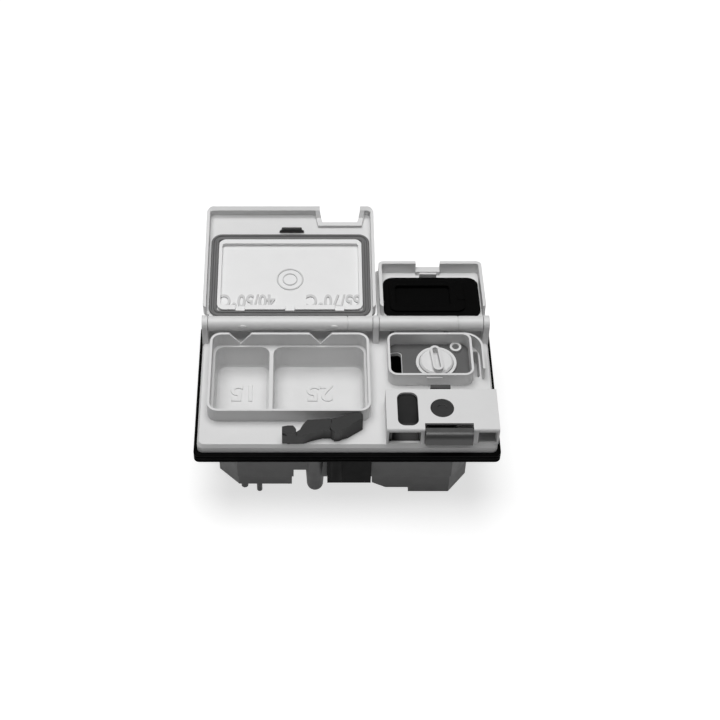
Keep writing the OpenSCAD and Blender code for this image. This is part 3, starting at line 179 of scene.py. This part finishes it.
def shade(name, colour, roughness, metallic=0.0, grain=0.25 * MM, relief=0.015 * MM,
          soften=0.25 * MM, mottle=0.04, edge=0.0, coat=0.0, specular=0.5):
    """Procedural finish: mottled colour, uneven gloss, fine grain, softened edges, and a painted
    highlight that lightens the edges.
    """
    old = bpy.data.materials.get(name)
    if old:
        return old
    material = bpy.data.materials.new(name)
    material.use_nodes = True
    nodes, links = material.node_tree.nodes, material.node_tree.links
    nodes.clear()
    out = nodes.new("ShaderNodeOutputMaterial")
    bsdf = nodes.new("ShaderNodeBsdfPrincipled")
    bsdf.inputs["Metallic"].default_value = metallic
    bsdf.inputs["Specular IOR Level"].default_value = specular
    bsdf.inputs["Coat Weight"].default_value = coat
    bsdf.inputs["Coat Roughness"].default_value = 0.25
    links.new(bsdf.outputs["BSDF"], out.inputs["Surface"])
    place = nodes.new("ShaderNodeTexCoord")

    def noise(size, detail):
        node = nodes.new("ShaderNodeTexNoise")
        node.inputs["Scale"].default_value = 1.0 / size
        node.inputs["Detail"].default_value = detail
        links.new(place.outputs["Object"], node.inputs["Vector"])
        return node.outputs["Fac"]

    def spread(value, low, high):
        node = nodes.new("ShaderNodeMapRange")
        node.inputs["From Min"].default_value = 0.3
        node.inputs["From Max"].default_value = 0.7
        node.inputs["To Min"].default_value = low
        node.inputs["To Max"].default_value = high
        links.new(value, node.inputs["Value"])
        return node.outputs["Result"]

    # Colour: broad mottle with a trace of the fine grain in it
    mix = nodes.new("ShaderNodeMix")
    mix.data_type = "RGBA"
    mix.inputs["A"].default_value = [c * (1 - mottle) for c in colour[:3]] + [1]
    mix.inputs["B"].default_value = [min(1, c * (1 + mottle)) for c in colour[:3]] + [1]
    links.new(spread(noise(14 * MM, 4), 0, 1), mix.inputs["Factor"])
    tint = mix.outputs["Result"]

    bevel = nodes.new("ShaderNodeBevel")
    bevel.samples = 4
    bevel.inputs["Radius"].default_value = soften
    if edge:
        # Painted highlight: edges are painted a little lighter, as rounded edges catching the light
        # would look
        geometry = nodes.new("ShaderNodeNewGeometry")
        dot = nodes.new("ShaderNodeVectorMath")
        dot.operation = "DOT_PRODUCT"
        links.new(bevel.outputs["Normal"], dot.inputs[0])
        links.new(geometry.outputs["Normal"], dot.inputs[1])
        edge_highlight = nodes.new("ShaderNodeMapRange")
        edge_highlight.inputs["From Min"].default_value = 0.995
        edge_highlight.inputs["From Max"].default_value = 0.80
        edge_highlight.inputs["To Max"].default_value = edge
        links.new(dot.outputs["Value"], edge_highlight.inputs["Value"])
        lighter = nodes.new("ShaderNodeMix")
        lighter.data_type = "RGBA"
        lighter.inputs["B"].default_value = [min(1, c * 1.5 + 0.04) for c in colour[:3]] + [1]
        links.new(edge_highlight.outputs["Result"], lighter.inputs["Factor"])
        links.new(tint, lighter.inputs["A"])
        tint = lighter.outputs["Result"]
    links.new(tint, bsdf.inputs["Base Color"])
    links.new(spread(noise(5 * MM, 3), roughness - 0.05, roughness + 0.06), bsdf.inputs["Roughness"])
    bump = nodes.new("ShaderNodeBump")
    bump.inputs["Strength"].default_value = 0.6
    bump.inputs["Distance"].default_value = relief
    links.new(noise(grain, 2), bump.inputs["Height"])
    links.new(bevel.outputs["Normal"], bump.inputs["Normal"])
    links.new(bump.outputs["Normal"], bsdf.inputs["Normal"])
    return material


def finish_named(name):
    """The dispenser's finishes by name."""
    c = colours()
    # The edge values set how much each finish paints its edges lighter, a painted highlight
    make = {
        "pale moulding": lambda: shade(name, c.pale, 0.42, mottle=0.015, edge=0.25),
        "lid panel": lambda: shade(name, c.panel, 0.36, mottle=0.015, soften=0.2 * MM),
        # Lid figures and rings: a grey darker than the panel, painted shade standing in for the
        # shadows of their relief
        "figures with painted shade": lambda: shade(name, grey(0.80), 0.6, mottle=0.02),
        "well plate": lambda: shade(name, c.well, 0.45, mottle=0.04, edge=0.2),
        "dark moulding": lambda: shade(name, c.dark, 0.46, relief=0.03 * MM, grain=0.4 * MM,
                                       mottle=0.08, edge=0.3),
        "lever moulding and catch shade": lambda: shade(name, c.lever, 0.4, mottle=0.06, edge=0.25, specular=0.4),
        "button moulding": lambda: shade(name, c.button, 0.36, mottle=0.05, edge=0.2),
        "black moulding": lambda: shade(name, c.black, 0.5, mottle=0.08, edge=0.15, specular=0.08),
        "black rubber": lambda: shade(name, c.rubber, 0.65, relief=0.02 * MM, mottle=0.1,
                                      specular=0.05),
        "grey rubber": lambda: shade(name, c.grey_rubber, 0.6, relief=0.02 * MM, mottle=0.03),
        "window plastic": lambda: shade(name, grey(0.2), 0.12, relief=0.004 * MM, coat=0.6),
        "turned steel": lambda: shade(name, grey(0.72), 0.3, metallic=1.0, grain=0.5 * MM,
                                      relief=0.006 * MM),
        "plated steel": lambda: shade(name, grey(0.7), 0.34, metallic=1.0, mottle=0.08),
        "spring wire": lambda: shade(name, grey(0.6), 0.3, metallic=1.0, soften=0.05 * MM),
        "winding": lambda: shade(name, (0.42, 0.13, 0.04, 1), 0.3, metallic=0.8, grain=0.35 * MM,
                                 relief=0.08 * MM),
        "tinned brass": lambda: shade(name, (0.62, 0.58, 0.5, 1), 0.32, metallic=1.0),
    }
    return make[name]()


# Mesh helpers


def new_piece(name, mesh, finish, body, smooth=40.0):
    """Puts a finished mesh in the scene and on its body."""
    mesh.materials.clear()
    mesh.materials.append(finish_named(finish))
    if smooth:
        mesh.shade_smooth()
        mesh.set_sharp_from_angle(angle=math.radians(smooth))
    piece = bpy.data.objects.new(name, mesh)
    bpy.context.scene.collection.objects.link(piece)
    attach(piece, body)
    return piece


def lid_place(tilt):
    """The lids' own axes: Y away from the hinge axis, Z out of the inner face."""
    return Matrix.Translation((0, HINGE.y, HINGE.z)) @ Matrix.Rotation(tilt, 4, "X")


def rounded_loop(box, radius, height, steps=8):
    """Points round a rectangle with round corners, at one height."""
    x0, y0, x1, y1 = box
    radius = max(radius, 0.02 * MM)
    points = []
    for cx, cy, start in ((x1 - radius, y1 - radius, 0), (x0 + radius, y1 - radius, 90),
                          (x0 + radius, y0 + radius, 180), (x1 - radius, y0 + radius, 270)):
        for step in range(steps + 1):
            a = math.radians(start + 90 * step / steps)
            points.append(Vector((cx + radius * math.cos(a), cy + radius * math.sin(a), height)))
    return points


def loft(name, loops, ring=False, caps=False):
    """A skin over loops of equally many points; ring joins the last loop to the first."""
    bm = bmesh.new()
    rows = [[bm.verts.new(p) for p in loop] for loop in loops]
    count = len(rows[0])
    pairs = list(zip(rows, rows[1:]))
    if ring:
        pairs.append((rows[-1], rows[0]))
    for low, high in pairs:
        for i in range(count):
            j = (i + 1) % count
            bm.faces.new((low[i], low[j], high[j], high[i]))
    if caps:
        bm.faces.new(list(reversed(rows[0])))
        bm.faces.new(rows[-1])
    bmesh.ops.recalc_face_normals(bm, faces=bm.faces)
    mesh = bpy.data.meshes.new(name)
    bm.to_mesh(mesh)
    bm.free()
    return mesh


def seal_ring(name, box, radius, profile, near=1.0):
    """A ring seal: profile is a closed list of (inset, height); near narrows the low Y side."""
    x0, y0, x1, y1 = box
    loops = []
    for inset, height in profile:
        loops.append(rounded_loop((x0 + inset, y0 + inset * near, x1 - inset, y1 - inset),
                                  max(radius - inset, 1.2 * MM), height))
    return loft(name, loops, ring=True)


def box_in(node, place):
    """Low and high corner of a node, seen in the axes of place."""
    back = place.inverted()
    points = [back @ vertex.co for vertex in frame["nodes"][node].data.vertices]
    return (Vector([min(p[i] for p in points) for i in range(3)]),
            Vector([max(p[i] for p in points) for i in range(3)]))


def figures(name, text, height, relief, place, narrow=1.0):
    """Moulded figures, centred on the origin of place, standing out along its Z."""
    curve = bpy.data.curves.new(name, "FONT")
    curve.body = text
    curve.size = height * 1.4
    curve.align_x = "CENTER"
    curve.align_y = "CENTER"
    curve.extrude = relief
    curve.offset = height * 0.012
    curve.bevel_depth = relief * 0.5
    curve.bevel_resolution = 1
    curve.resolution_u = 6
    holder = bpy.data.objects.new(name, curve)
    bpy.context.scene.collection.objects.link(holder)
    bpy.context.view_layer.update()
    mesh = bpy.data.meshes.new_from_object(holder.evaluated_get(
        bpy.context.evaluated_depsgraph_get()))
    bpy.data.objects.remove(holder)
    # Narrow, bold figures, as cut into a mould
    mesh.transform(place @ Matrix.Diagonal((narrow, 1, 1, 1)))
    return mesh


def joined(name, meshes):
    """Several meshes as one."""
    bm = bmesh.new()
    for mesh in meshes:
        bm.from_mesh(mesh)
    result = bpy.data.meshes.new(name)
    bm.to_mesh(result)
    bm.free()
    return result


# Geometry nodes


def new_tree(name, inputs):
    """A geometry tree with named number inputs and one mesh output."""
    tree = bpy.data.node_groups.new(name, "GeometryNodeTree")
    tree.interface.new_socket("Geometry", in_out="INPUT", socket_type="NodeSocketGeometry")
    for label, default in inputs:
        kind = "NodeSocketInt" if isinstance(default, int) else "NodeSocketFloat"
        socket = tree.interface.new_socket(label, in_out="INPUT", socket_type=kind)
        socket.default_value = default
    tree.interface.new_socket("Geometry", in_out="OUTPUT", socket_type="NodeSocketGeometry")
    return tree, tree.nodes.new("NodeGroupInput"), tree.nodes.new("NodeGroupOutput")


def close_tree(tree, geometry, output, finish):
    """Ends a tree in Realize Instances and Set Material."""
    real = tree.nodes.new("GeometryNodeRealizeInstances")
    dress = tree.nodes.new("GeometryNodeSetMaterial")
    dress.inputs["Material"].default_value = finish_named(finish)
    tree.links.new(geometry, real.inputs["Geometry"])
    tree.links.new(real.outputs["Geometry"], dress.inputs["Geometry"])
    tree.links.new(dress.outputs["Geometry"], output.inputs["Geometry"])


def run_tree(name, tree, values, seed_mesh=None):
    """The plain mesh that a tree makes from these input values."""
    holder = bpy.data.objects.new(name, seed_mesh or bpy.data.meshes.new(name + " seed"))
    bpy.context.scene.collection.objects.link(holder)
    modifier = holder.modifiers.new(name, "NODES")
    modifier.node_group = tree
    for item in tree.interface.items_tree:
        if item.in_out == "INPUT" and item.name in values:
            modifier[item.identifier] = values[item.name]
    bpy.context.view_layer.update()
    mesh = bpy.data.meshes.new_from_object(
        holder.evaluated_get(bpy.context.evaluated_depsgraph_get()))
    holder.modifiers.remove(modifier)
    bpy.data.objects.remove(holder)
    return mesh


def spring_tree():
    """A round wire wound along Z."""
    tree, source, output = new_tree("spring wire path", [
        ("Turns", 8.0), ("Coil radius", 2.8 * MM), ("Length", 10 * MM), ("Wire radius", 0.35 * MM)])
    spiral = tree.nodes.new("GeometryNodeCurveSpiral")
    spiral.inputs["Resolution"].default_value = 24
    wire = tree.nodes.new("GeometryNodeCurvePrimitiveCircle")
    wire.inputs["Resolution"].default_value = 8
    sweep = tree.nodes.new("GeometryNodeCurveToMesh")
    sweep.inputs["Fill Caps"].default_value = True
    smooth = tree.nodes.new("GeometryNodeSetShadeSmooth")
    tree.links.new(source.outputs["Turns"], spiral.inputs["Rotations"])
    tree.links.new(source.outputs["Coil radius"], spiral.inputs["Start Radius"])
    tree.links.new(source.outputs["Coil radius"], spiral.inputs["End Radius"])
    tree.links.new(source.outputs["Length"], spiral.inputs["Height"])
    tree.links.new(source.outputs["Wire radius"], wire.inputs["Radius"])
    tree.links.new(spiral.outputs["Curve"], sweep.inputs["Curve"])
    tree.links.new(wire.outputs["Curve"], sweep.inputs["Profile Curve"])
    tree.links.new(sweep.outputs["Mesh"], smooth.inputs["Geometry"])
    close_tree(tree, smooth.outputs["Geometry"], output, "spring wire")
    return tree


def screw_tree():
    """A pan head screw, head down, on every point of the seed mesh."""
    tree, source, output = new_tree("pan head screws", [
        ("Head radius", 2.8 * MM), ("Head height", 1.8 * MM), ("Shank radius", 1.3 * MM),
        ("Shank length", 9 * MM), ("Recess width", 0.7 * MM)])

    def made(kind, **inputs):
        node = tree.nodes.new(kind)
        for label, value in inputs.items():
            socket = node.inputs[label.replace("_", " ")]
            if hasattr(value, "links"):
                tree.links.new(value, socket)
            else:
                socket.default_value = value
        return node

    def shifted(geometry, z):
        move = made("ShaderNodeCombineXYZ", Z=z)
        node = made("GeometryNodeTransform", Geometry=geometry, Translation=move.outputs["Vector"])
        return node.outputs["Geometry"]

    def scaled(value, factor):
        node = tree.nodes.new("ShaderNodeMath")
        node.operation = "MULTIPLY"
        node.inputs[1].default_value = factor
        tree.links.new(value, node.inputs[0])
        return node.outputs["Value"]

    radius, height = source.outputs["Head radius"], source.outputs["Head height"]
    # Head: a cone frustum that widens to the seat, cut by a cross
    head = made("GeometryNodeMeshCone", Vertices=32, Radius_Top=radius,
                Radius_Bottom=scaled(radius, 0.82), Depth=height)
    head_mesh = shifted(head.outputs["Mesh"], scaled(height, -1.0))
    cut = made("GeometryNodeMeshBoolean", Mesh_1=head_mesh)
    cut.operation = "DIFFERENCE"
    long, wide = scaled(radius, 1.1), source.outputs["Recess width"]
    for x, y in ((long, wide), (wide, long)):
        size = made("ShaderNodeCombineXYZ", X=x, Y=y, Z=height)
        bar = made("GeometryNodeMeshCube", Size=size.outputs["Vector"])
        tree.links.new(shifted(bar.outputs["Mesh"], scaled(height, -1.1)), cut.inputs["Mesh 2"])
    shank = made("GeometryNodeMeshCylinder", Vertices=20, Radius=source.outputs["Shank radius"],
                 Depth=source.outputs["Shank length"])
    join = tree.nodes.new("GeometryNodeJoinGeometry")
    tree.links.new(cut.outputs["Mesh"], join.inputs["Geometry"])
    tree.links.new(shifted(shank.outputs["Mesh"], scaled(source.outputs["Shank length"], 0.5)),
                   join.inputs["Geometry"])
    copies = made("GeometryNodeInstanceOnPoints", Points=source.outputs["Geometry"],
                  Instance=join.outputs["Geometry"])
    close_tree(tree, copies.outputs["Instances"], output, "turned steel")
    return tree


def around_tree(finish):
    """Small bars round a circle, over part of a turn."""
    tree, source, output = new_tree("bars round a circle", [
        ("Count", 6), ("Radius", 10 * MM), ("Length", 1 * MM), ("Width", 0.5 * MM),
        ("Height", 0.3 * MM), ("Start angle", 0.0), ("Sweep angle", math.pi)])
    arc = tree.nodes.new("GeometryNodeCurveArc")
    bar = tree.nodes.new("GeometryNodeMeshCube")
    size = tree.nodes.new("ShaderNodeCombineXYZ")
    align = tree.nodes.new("FunctionNodeAlignRotationToVector")
    points = tree.nodes.new("GeometryNodeCurveToPoints")
    copies = tree.nodes.new("GeometryNodeInstanceOnPoints")
    align.axis = "Y"
    tree.links.new(source.outputs["Count"], arc.inputs["Resolution"])
    tree.links.new(source.outputs["Radius"], arc.inputs["Radius"])
    tree.links.new(source.outputs["Start angle"], arc.inputs["Start Angle"])
    tree.links.new(source.outputs["Sweep angle"], arc.inputs["Sweep Angle"])
    tree.links.new(source.outputs["Length"], size.inputs["X"])
    tree.links.new(source.outputs["Width"], size.inputs["Y"])
    tree.links.new(source.outputs["Height"], size.inputs["Z"])
    tree.links.new(size.outputs["Vector"], bar.inputs["Size"])
    tree.links.new(arc.outputs["Curve"], points.inputs["Curve"])
    points.mode = "EVALUATED"
    tree.links.new(points.outputs["Tangent"], align.inputs["Vector"])
    tree.links.new(points.outputs["Points"], copies.inputs["Points"])
    tree.links.new(bar.outputs["Mesh"], copies.inputs["Instance"])
    tree.links.new(align.outputs["Rotation"], copies.inputs["Rotation"])
    close_tree(tree, copies.outputs["Instances"], output, finish)
    return tree


# Operators


class DISPENSER_OT_finishes(bpy.types.Operator):
    """Give every CAD node that stays its own finish"""

    bl_idname = "dispenser.finishes"
    bl_label = "Finishes"

    def execute(self, context):
        for finish, nodes in FINISHES.items():
            for node in nodes:
                for slot in frame["nodes"][node].material_slots:
                    slot.material = finish_named(finish)
        return {"FINISHED"}


class DISPENSER_OT_door_gasket(bpy.types.Operator):
    """Make the door gasket with its grooves, from the frame's gasket"""

    bl_idname = "dispenser.door_gasket"
    bl_label = "Door gasket"

    def execute(self, context):
        low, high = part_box("door_gasket")
        band = 4.0 * MM
        g = sizes().groove
        t = high.z - low.z
        profile = [(0.5 * MM, 0), (0, 0.4 * MM), (0, 0.25 * t), (g, 0.31 * t), (g, 0.39 * t),
                   (0, 0.45 * t), (0, 0.58 * t), (g, 0.64 * t), (g, 0.72 * t), (0, 0.78 * t),
                   (0, t - 0.5 * MM), (0.6 * MM, t), (band - 0.4 * MM, t), (band, t - 0.4 * MM),
                   (band, 0.4 * MM), (band - 0.4 * MM, 0)]
        mesh = seal_ring("door gasket", (low.x, low.y, high.x, high.y), 3 * MM,
                         [(inset, low.z + z) for inset, z in profile])
        piece = new_piece("door_gasket_lips", mesh, "black rubber", "housing")
        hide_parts("door_gasket")
        return {"FINISHED"}


class DISPENSER_OT_lid_seals(bpy.types.Operator):
    """Make the lipped seal of the detergent lid"""

    bl_idname = "dispenser.lid_seals"
    bl_label = "Lid seals"

    def execute(self, context):
        place = lid_place(sizes().lid_tilt)
        low, high = box_in("detergent_lid_seal", place)
        profile = [(0, -0.2), (0, 0.55), (0.45, 1.0), (1.2, 1.0), (1.7, 0.35), (2.5, 0.35),
                   (3.0, 1.0), (3.95, 1.0), (4.4, 0.55), (4.4, -0.2)]
        mesh = seal_ring("lid seal", (low.x, low.y, high.x, high.y), 6 * MM,
                         [(i * MM, h * MM) for i, h in profile], near=3.8 / 4.4)
        mesh.transform(place)
        piece = new_piece("detergent_lid_seal_lips", mesh, "grey rubber", "big_lid")
        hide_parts("detergent_lid_seal")
        return {"FINISHED"}


class DISPENSER_OT_marks(bpy.types.Operator):
    """Mould the volume figures into the compartments and the figures into the lid"""

    bl_idname = "dispenser.marks"
    bl_label = "Figures"

    def execute(self, context):
        s = sizes()
        floor = -4.9 * MM
        turn = Matrix.Rotation(math.pi, 4, "Z")
        marks = []
        for text, x in (("15", -56.3 * MM), ("25", -14.3 * MM)):
            place = Matrix.Translation((x, 6 * MM, floor)) @ turn
            marks.append(figures(text, text, s.mark_height, s.mark_relief, place))
        new_piece("volume_marks", joined("volume marks", marks), "pale moulding", "housing",
                  smooth=0)
        lid = lid_place(s.lid_tilt)
        panel = -0.6 * MM
        marks = []
        for text, x in (("40/50\u00b0C", -54.6 * MM), ("65/70\u00b0C", -6.4 * MM)):
            place = lid @ Matrix.Translation((x, 16.0 * MM, panel)) @ turn
            marks.append(figures(text, text, s.lid_mark_height, s.mark_relief, place, narrow=0.76))
        middle = Vector((-30.75 * MM, 30.8 * MM, 0))
        for outer, inner in ((7.5, 6.7), (4.2, 3.6)):
            loops = []
            for radius, height in ((outer, 0), (outer, 0.35), (outer - 0.15, 0.45),
                                   (inner + 0.15, 0.45), (inner, 0.35), (inner, 0)):
                loops.append([middle + Vector((radius * MM * math.cos(a), radius * MM * math.sin(a),
                                               panel + height * MM))
                              for a in (math.tau * i / 64 for i in range(64))])
            ring = loft("panel ring", loops, ring=True)
            ring.transform(lid)
            marks.append(ring)
        # Two gate marks on the barrel of the lid
        nubs = bmesh.new()
        turn = math.radians(157)
        for x in (-56.4, -6.3):
            spot = HINGE + Vector((0, math.cos(turn), math.sin(turn))) * 4.15 * MM
            spot.x = x * MM
            size = Matrix.Diagonal((1.9 * MM, 0.9 * MM, 0.45 * MM, 1))
            bmesh.ops.create_uvsphere(
                nubs, u_segments=24, v_segments=12, radius=1.0,
                matrix=Matrix.Translation(spot) @ Matrix.Rotation(turn - math.pi / 2, 4, "X") @ size)
        mesh = bpy.data.meshes.new("gate marks")
        nubs.to_mesh(mesh)
        nubs.free()
        new_piece("gate_marks", mesh, "lid panel", "big_lid")
        # The lid figures and rings are painted darker than the panel, as painted shade for the
        # shadows of their relief
        new_piece("lid_figures", joined("lid figures", marks), "figures with painted shade", "big_lid",
                  smooth=0)
        return {"FINISHED"}


class DISPENSER_OT_springs(bpy.types.Operator):
    """Wind the four springs"""

    bl_idname = "dispenser.springs"
    bl_label = "Springs"

    def execute(self, context):
        tree = spring_tree()
        across = Matrix.Rotation(math.radians(90), 4, "Y")
        for node, turns, wire, along_x in (
                ("detergent_lid_spring", 10.0, 0.35, True), ("rinse_lid_spring", 10.0, 0.35, True),
                ("button_spring", 4.0, 0.3, False), ("valve_spring", 7.0, 0.25, False)):
            low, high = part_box(node)
            span = high - low
            long = span.x if along_x else span.z
            wide = span.z if along_x else span.x
            mesh = run_tree(node, tree, {
                "Turns": turns, "Coil radius": wide / 2 - wire * MM,
                "Length": long - 2 * wire * MM, "Wire radius": wire * MM})
            middle = (low + high) / 2
            if along_x:
                mesh.transform(Matrix.Translation((low.x + wire * MM, middle.y, middle.z)) @ across)
            else:
                mesh.transform(Matrix.Translation((middle.x, middle.y, low.z + wire * MM)))
            piece = new_piece(node + "_wire", mesh, "spring wire", "housing")
            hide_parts(node)
        return {"FINISHED"}


class DISPENSER_OT_screws(bpy.types.Operator):
    """Make the screws with pan heads and cross recesses"""

    bl_idname = "dispenser.screws"
    bl_label = "Screws"

    def execute(self, context):
        seats = bpy.data.meshes.new("screw seats")
        seats.from_pydata(self.seats(), [], [])
        mesh = run_tree("screws", screw_tree(), {
            "Head radius": 2.8 * MM, "Head height": 1.8 * MM, "Shank radius": 1.3 * MM,
            "Shank length": 9.0 * MM, "Recess width": 0.7 * MM}, seats)
        piece = new_piece("housing_screws_heads", mesh, "turned steel", "housing",
                          smooth=30.0)
        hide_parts("housing_screws")
        return {"FINISHED"}

    def seats(self):
        """Middle of the face under each head, from the loose parts of the CAD screws."""
        bm = bmesh.new()
        bm.from_mesh(frame["nodes"]["housing_screws"].data)
        bmesh.ops.remove_doubles(bm, verts=bm.verts, dist=0.01 * MM)
        left, places = set(bm.verts), []
        while left:
            group, front = set(), [left.pop()]
            while front:
                vertex = front.pop()
                group.add(vertex)
                for edge in vertex.link_edges:
                    other = edge.other_vert(vertex)
                    if other in left:
                        left.discard(other)
                        front.append(other)
            xs, ys, zs = zip(*(vertex.co for vertex in group))
            places.append(((min(xs) + max(xs)) / 2, (min(ys) + max(ys)) / 2, min(zs) + 1.8 * MM))
        bm.free()
        return sorted(places)


class DISPENSER_OT_dial_ticks(bpy.types.Operator):
    """Set a scale of ticks round the dosing dial"""

    bl_idname = "dispenser.dial_ticks"
    bl_label = "Dial ticks"

    def execute(self, context):
        low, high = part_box("dose_dial")
        middle = (low + high) / 2
        collar_top = 13.6 * MM
        mesh = run_tree("dial ticks", around_tree("pale moulding"), {
            "Count": 6, "Radius": 10.6 * MM, "Length": sizes().tick_length, "Width": 0.5 * MM,
            "Height": 0.5 * MM, "Start angle": math.radians(200), "Sweep angle": math.radians(140)})
        mesh.transform(Matrix.Translation((middle.x, middle.y, collar_top)))
        new_piece("dial_ticks", mesh, "pale moulding", "housing", smooth=0)
        return {"FINISHED"}


class DISPENSER_OT_rinse_pad(bpy.types.Operator):
    """Finish the black pad of the small lid"""

    bl_idname = "dispenser.rinse_pad"
    bl_label = "Rinse aid pad"

    def execute(self, context):
        for slot in frame["nodes"]["rinse_lid_seal"].material_slots:
            slot.material = finish_named("black rubber")
        return {"FINISHED"}


class DISPENSER_OT_stage(bpy.types.Operator):
    """Set the floor, the lamps and the camera"""

    bl_idname = "dispenser.stage"
    bl_label = "Stage"

    def execute(self, context):
        scene = context.scene
        low, _ = CAD_BOX
        mesh = bpy.data.meshes.new("floor")
        reach = 6.0
        mesh.from_pydata([(-reach, -reach, low.z), (reach, -reach, low.z), (reach, reach, low.z),
                          (-reach, reach, low.z)], [], [(0, 1, 2, 3)])
        floor = bpy.data.objects.new("floor", mesh)
        scene.collection.objects.link(floor)
        mesh.materials.append(self.backdrop())
        self.world(scene)
        self.lamp(scene, "top lamp", (-0.1, 0.15, 1.5), (0, 0, 0), 1.3, 21.5)
        self.lamp(scene, "front lamp", (0.5, -1.5, 0.9), (0, 0, 0), 1.0, 0.3)
        camera = bpy.data.cameras.new("camera")
        camera.lens = 76.6
        camera.sensor_width = 36.0
        camera.shift_x = 0.0708
        camera.clip_start = 0.01
        holder = bpy.data.objects.new("camera", camera)
        holder.location = (-20.1 * MM, -535.8 * MM, 646 * MM)
        holder.rotation_euler = (math.radians(41), 0, 0)
        scene.collection.objects.link(holder)
        scene.camera = holder
        scene.view_settings.view_transform = "Standard"
        return {"FINISHED"}

    def seen(self, nodes, links):
        """1 for camera, mirror and glass rays."""
        path = nodes.new("ShaderNodeLightPath")
        total = path.outputs["Is Camera Ray"]
        for name in ("Is Glossy Ray", "Is Transmission Ray"):
            either = nodes.new("ShaderNodeMath")
            either.operation = "MAXIMUM"
            links.new(total, either.inputs[0])
            links.new(path.outputs[name], either.inputs[1])
            total = either.outputs["Value"]
        return total

    def backdrop(self):
        """A pale floor that the camera sees as white, with the object's shadow on it."""
        material = bpy.data.materials.new("pale floor")
        material.use_nodes = True
        nodes, links = material.node_tree.nodes, material.node_tree.links
        nodes.clear()
        out = nodes.new("ShaderNodeOutputMaterial")
        matt = nodes.new("ShaderNodeBsdfDiffuse")
        matt.inputs["Color"].default_value = (0.5, 0.5, 0.5, 1)
        glow = nodes.new("ShaderNodeEmission")
        add = nodes.new("ShaderNodeAddShader")
        level = nodes.new("ShaderNodeMath")
        level.operation = "MULTIPLY"
        level.inputs[1].default_value = 0.68
        links.new(self.seen(nodes, links), level.inputs[0])
        links.new(level.outputs["Value"], glow.inputs["Strength"])
        links.new(matt.outputs["BSDF"], add.inputs[0])
        links.new(glow.outputs["Emission"], add.inputs[1])
        links.new(add.outputs["Shader"], out.inputs["Surface"])
        return material

    def world(self, scene):
        world = bpy.data.worlds.new("studio")
        scene.world = world
        world.use_nodes = True
        nodes, links = world.node_tree.nodes, world.node_tree.links
        nodes.clear()
        out = nodes.new("ShaderNodeOutputWorld")
        light = nodes.new("ShaderNodeBackground")
        light.inputs["Strength"].default_value = 0.09
        view = nodes.new("ShaderNodeBackground")
        view.inputs["Strength"].default_value = 1.0
        mix = nodes.new("ShaderNodeMixShader")
        path = nodes.new("ShaderNodeLightPath")
        light.inputs["Color"].default_value = (1, 1, 1, 1)
        view.inputs["Color"].default_value = (1, 1, 1, 1)
        links.new(path.outputs["Is Camera Ray"], mix.inputs["Fac"])
        links.new(light.outputs["Background"], mix.inputs[1])
        links.new(view.outputs["Background"], mix.inputs[2])
        links.new(mix.outputs["Shader"], out.inputs["Surface"])

    def lamp(self, scene, name, place, target, size, power):
        data = bpy.data.lights.new(name, "AREA")
        data.shape = "DISK"
        data.size = size
        data.energy = power
        lamp = bpy.data.objects.new(name, data)
        lamp.location = place
        lamp.rotation_euler = (Vector(target) - Vector(place)).to_track_quat("-Z", "Y").to_euler()
        scene.collection.objects.link(lamp)


OPERATORS = (
    DISPENSER_OT_finishes,
    DISPENSER_OT_door_gasket,
    DISPENSER_OT_lid_seals,
    DISPENSER_OT_rinse_pad,
    DISPENSER_OT_marks,
    DISPENSER_OT_springs,
    DISPENSER_OT_screws,
    DISPENSER_OT_dial_ticks,
    DISPENSER_OT_stage,
)


class DISPENSER_PT_panel(bpy.types.Panel):
    """Sizes, colours and the steps that dress the dispenser"""

    bl_idname = "DISPENSER_PT_panel"
    bl_label = "Detergent dispenser"
    bl_space_type = "VIEW_3D"
    bl_region_type = "UI"
    bl_category = "Dispenser"

    def draw(self, context):
        for group in (sizes(), colours()):
            for name in group.bl_rna.properties.keys():
                if name not in ("rna_type", "name"):
                    self.layout.prop(group, name)
        for operator in OPERATORS:
            self.layout.operator(operator.bl_idname)


CLASSES = (DispenserSizes, DispenserColours, *OPERATORS, DISPENSER_PT_panel)


def register():
    for item in CLASSES:
        bpy.utils.register_class(item)
    bpy.types.Scene.dispenser_sizes = bpy.props.PointerProperty(type=DispenserSizes)
    bpy.types.Scene.dispenser_colours = bpy.props.PointerProperty(type=DispenserColours)


def unregister():
    del bpy.types.Scene.dispenser_sizes
    del bpy.types.Scene.dispenser_colours
    for item in reversed(CLASSES):
        bpy.utils.unregister_class(item)


def main():
    register()
    bpy.ops.dispenser.finishes()
    bpy.ops.dispenser.door_gasket()
    bpy.ops.dispenser.lid_seals()
    bpy.ops.dispenser.rinse_pad()
    bpy.ops.dispenser.marks()
    bpy.ops.dispenser.springs()
    bpy.ops.dispenser.screws()
    bpy.ops.dispenser.dial_ticks()
    bpy.ops.dispenser.stage()


if __name__ == "__main__":
    main()
